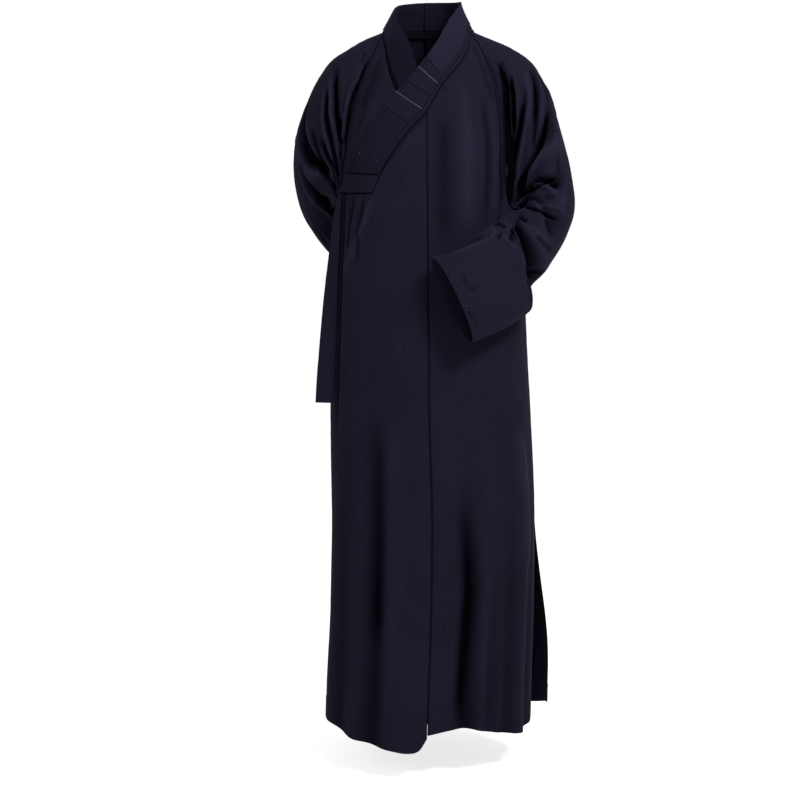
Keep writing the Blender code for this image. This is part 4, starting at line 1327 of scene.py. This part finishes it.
def stitch_line(bm, surface, points, length=0.0026, gap=0.0014, width=0.00045):
    """Lays stitches along a path of points, on the named piece of cloth."""
    tree = SURFACES[surface]
    left = 0.0
    for one, two in zip(points, points[1:]):
        way = two - one
        reach = way.length
        while left < reach:
            spot, normal, _, _ = tree.find_nearest(one + way * (left / reach))
            forward = (way - normal * way.dot(normal)).normalized()
            side = normal.cross(forward)
            turn = Matrix((forward, side, normal)).transposed().to_4x4()
            size = Matrix.Diagonal((length / 2, width / 2, width / 2, 1.0))
            where = Matrix.Translation(spot + normal * width * 0.2) @ turn @ size
            bmesh.ops.create_icosphere(bm, subdivisions=1, radius=1.0, matrix=where)
            left += length + gap
        left -= reach


def stitched(name, lines, slot="gown_cloth", material=thread, **sizes):
    """One object for all the stitch lines of a piece."""
    bm = bmesh.new()
    for surface, points in lines:
        stitch_line(bm, surface, points, **sizes)
    for face in bm.faces:
        face.smooth = True
    mesh = filled(name, bm)
    mesh.materials.append(material)
    piece = put(name, mesh)
    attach(piece, "root")
    print(name, "has", len(mesh.polygons) // 20, "stitches")


def outer_path(across, start, end):
    """Points along the outer band, at one place across it."""
    return [band_point(BAND_OUTER, upper_layer, row, across, ON_BAND)
            for row in spread(start, end, PATH_POINTS)]


quilt = [("band_outer", outer_path(line / (QUILT_LINES + 1), *BAND_QUILT))
         for line in range(1, QUILT_LINES + 1)]
stitched("band_quilting", quilt, "band_cloth", gap=0.0020, width=0.00036)
under_path = [band_point(BAND_UNDER, lower_layer, row, STRIP + 0.03, ON_BAND)
              for row in spread(0.1, 10.9, PATH_POINTS)]
stitched("collar_stitching", [("band_outer", outer_path(STRIP, 0.1, 11.9)),
                              ("guard_outer", outer_path(0.31, 0.1, GUARD_END - 0.05)),
                              ("guard_under", under_path)], "band_cloth")
stitched("hem_stitching", HEM_PATHS.items(), length=0.0030, gap=0.0025)
tacks = [("sleeve_left_lower", [Vector((0.0670, -0.210, -0.5310)), Vector((0.0682, -0.210, -0.5330))]),
         ("band_outer", [Vector((-0.1415, -0.110, -0.2440)), Vector((-0.1400, -0.112, -0.2460))])]
stitched("bar_tacks", tacks, material=pale_thread, length=0.0034, gap=0.0040, width=0.0015)

# %% [markdown]
# The upper edge of each patch is a pale selvedge, a narrow raised line right across the band.

# %% Pale edges of the patches
selvedges = [(patch_name, [band_point(BAND_OUTER, upper_layer, rows[0] + 0.04, across, ON_BAND)
                           for across in spread(STRIP + 0.01, 0.985, 40)])
             for patch_name, rows in PATCHES.items()]
stitched("patch_edges", selvedges, "band_cloth", material=pale_thread, length=0.0040, gap=-0.0026,
         width=0.0017)

# %% [markdown]
# ## Lights and floor
# A plain pale floor and a white studio: a big soft light above each side of the front, and an even white
# room that fills the shadows.

# %% Studio
ROOM_LIGHT = 0.28
FLOOR_LIFT = 0.75
FLOOR_LEVEL = -1.462
WHITE = (1.0, 1.0, 1.0, 1.0)


def seen_level(tree, **levels):
    """One level where the camera looks straight at a thing, another where it only lights the rest."""
    seen = add(tree, "LightPath").outputs["Is Camera Ray"]
    return add(tree, "MapRange", Value=seen, **levels).outputs["Result"]


floor_bm = bmesh.new()
bmesh.ops.create_circle(floor_bm, cap_ends=True, segments=64, radius=14.0,
                        matrix=Matrix.Translation((0.0, 0.0, FLOOR_LEVEL)))
floor = put("floor", filled("floor", floor_bm))
pale, pale_shader = new_material("pale_floor")
feed(pale_shader, Base_Color=(0.95, 0.95, 0.95, 1.0), Roughness=0.9, Emission_Color=WHITE,
     Emission_Strength=seen_level(pale.node_tree, To_Max=FLOOR_LIFT))
floor.data.materials.append(pale)

world = bpy.data.worlds.new("studio")
world.use_nodes = True
feed(world.node_tree.nodes["Background"], Color=WHITE,
     Strength=seen_level(world.node_tree, To_Min=ROOM_LIGHT, To_Max=1.0))
bpy.context.scene.view_settings.view_transform = "Standard"
bpy.context.scene.world = world


def soft_light(name, place, target, size, power):
    light = bpy.data.lights.new(name, "AREA")
    light.shape, light.size, light.energy = "DISK", size, power
    lamp = put(name, light)
    lamp.location = place
    lamp.rotation_euler = (Vector(target) - Vector(place)).to_track_quat("-Z", "Y").to_euler()


soft_light("key", (1.7, -2.4, 2.1), (0.0, 0.0, -0.5), 1.0, 110.0)
soft_light("fill", (-2.2, -2.4, 0.8), (0.0, 0.0, -0.7), 1.6, 16.0)
print("lights:", [o.name for o in bpy.context.scene.objects if o.type == "LIGHT"])
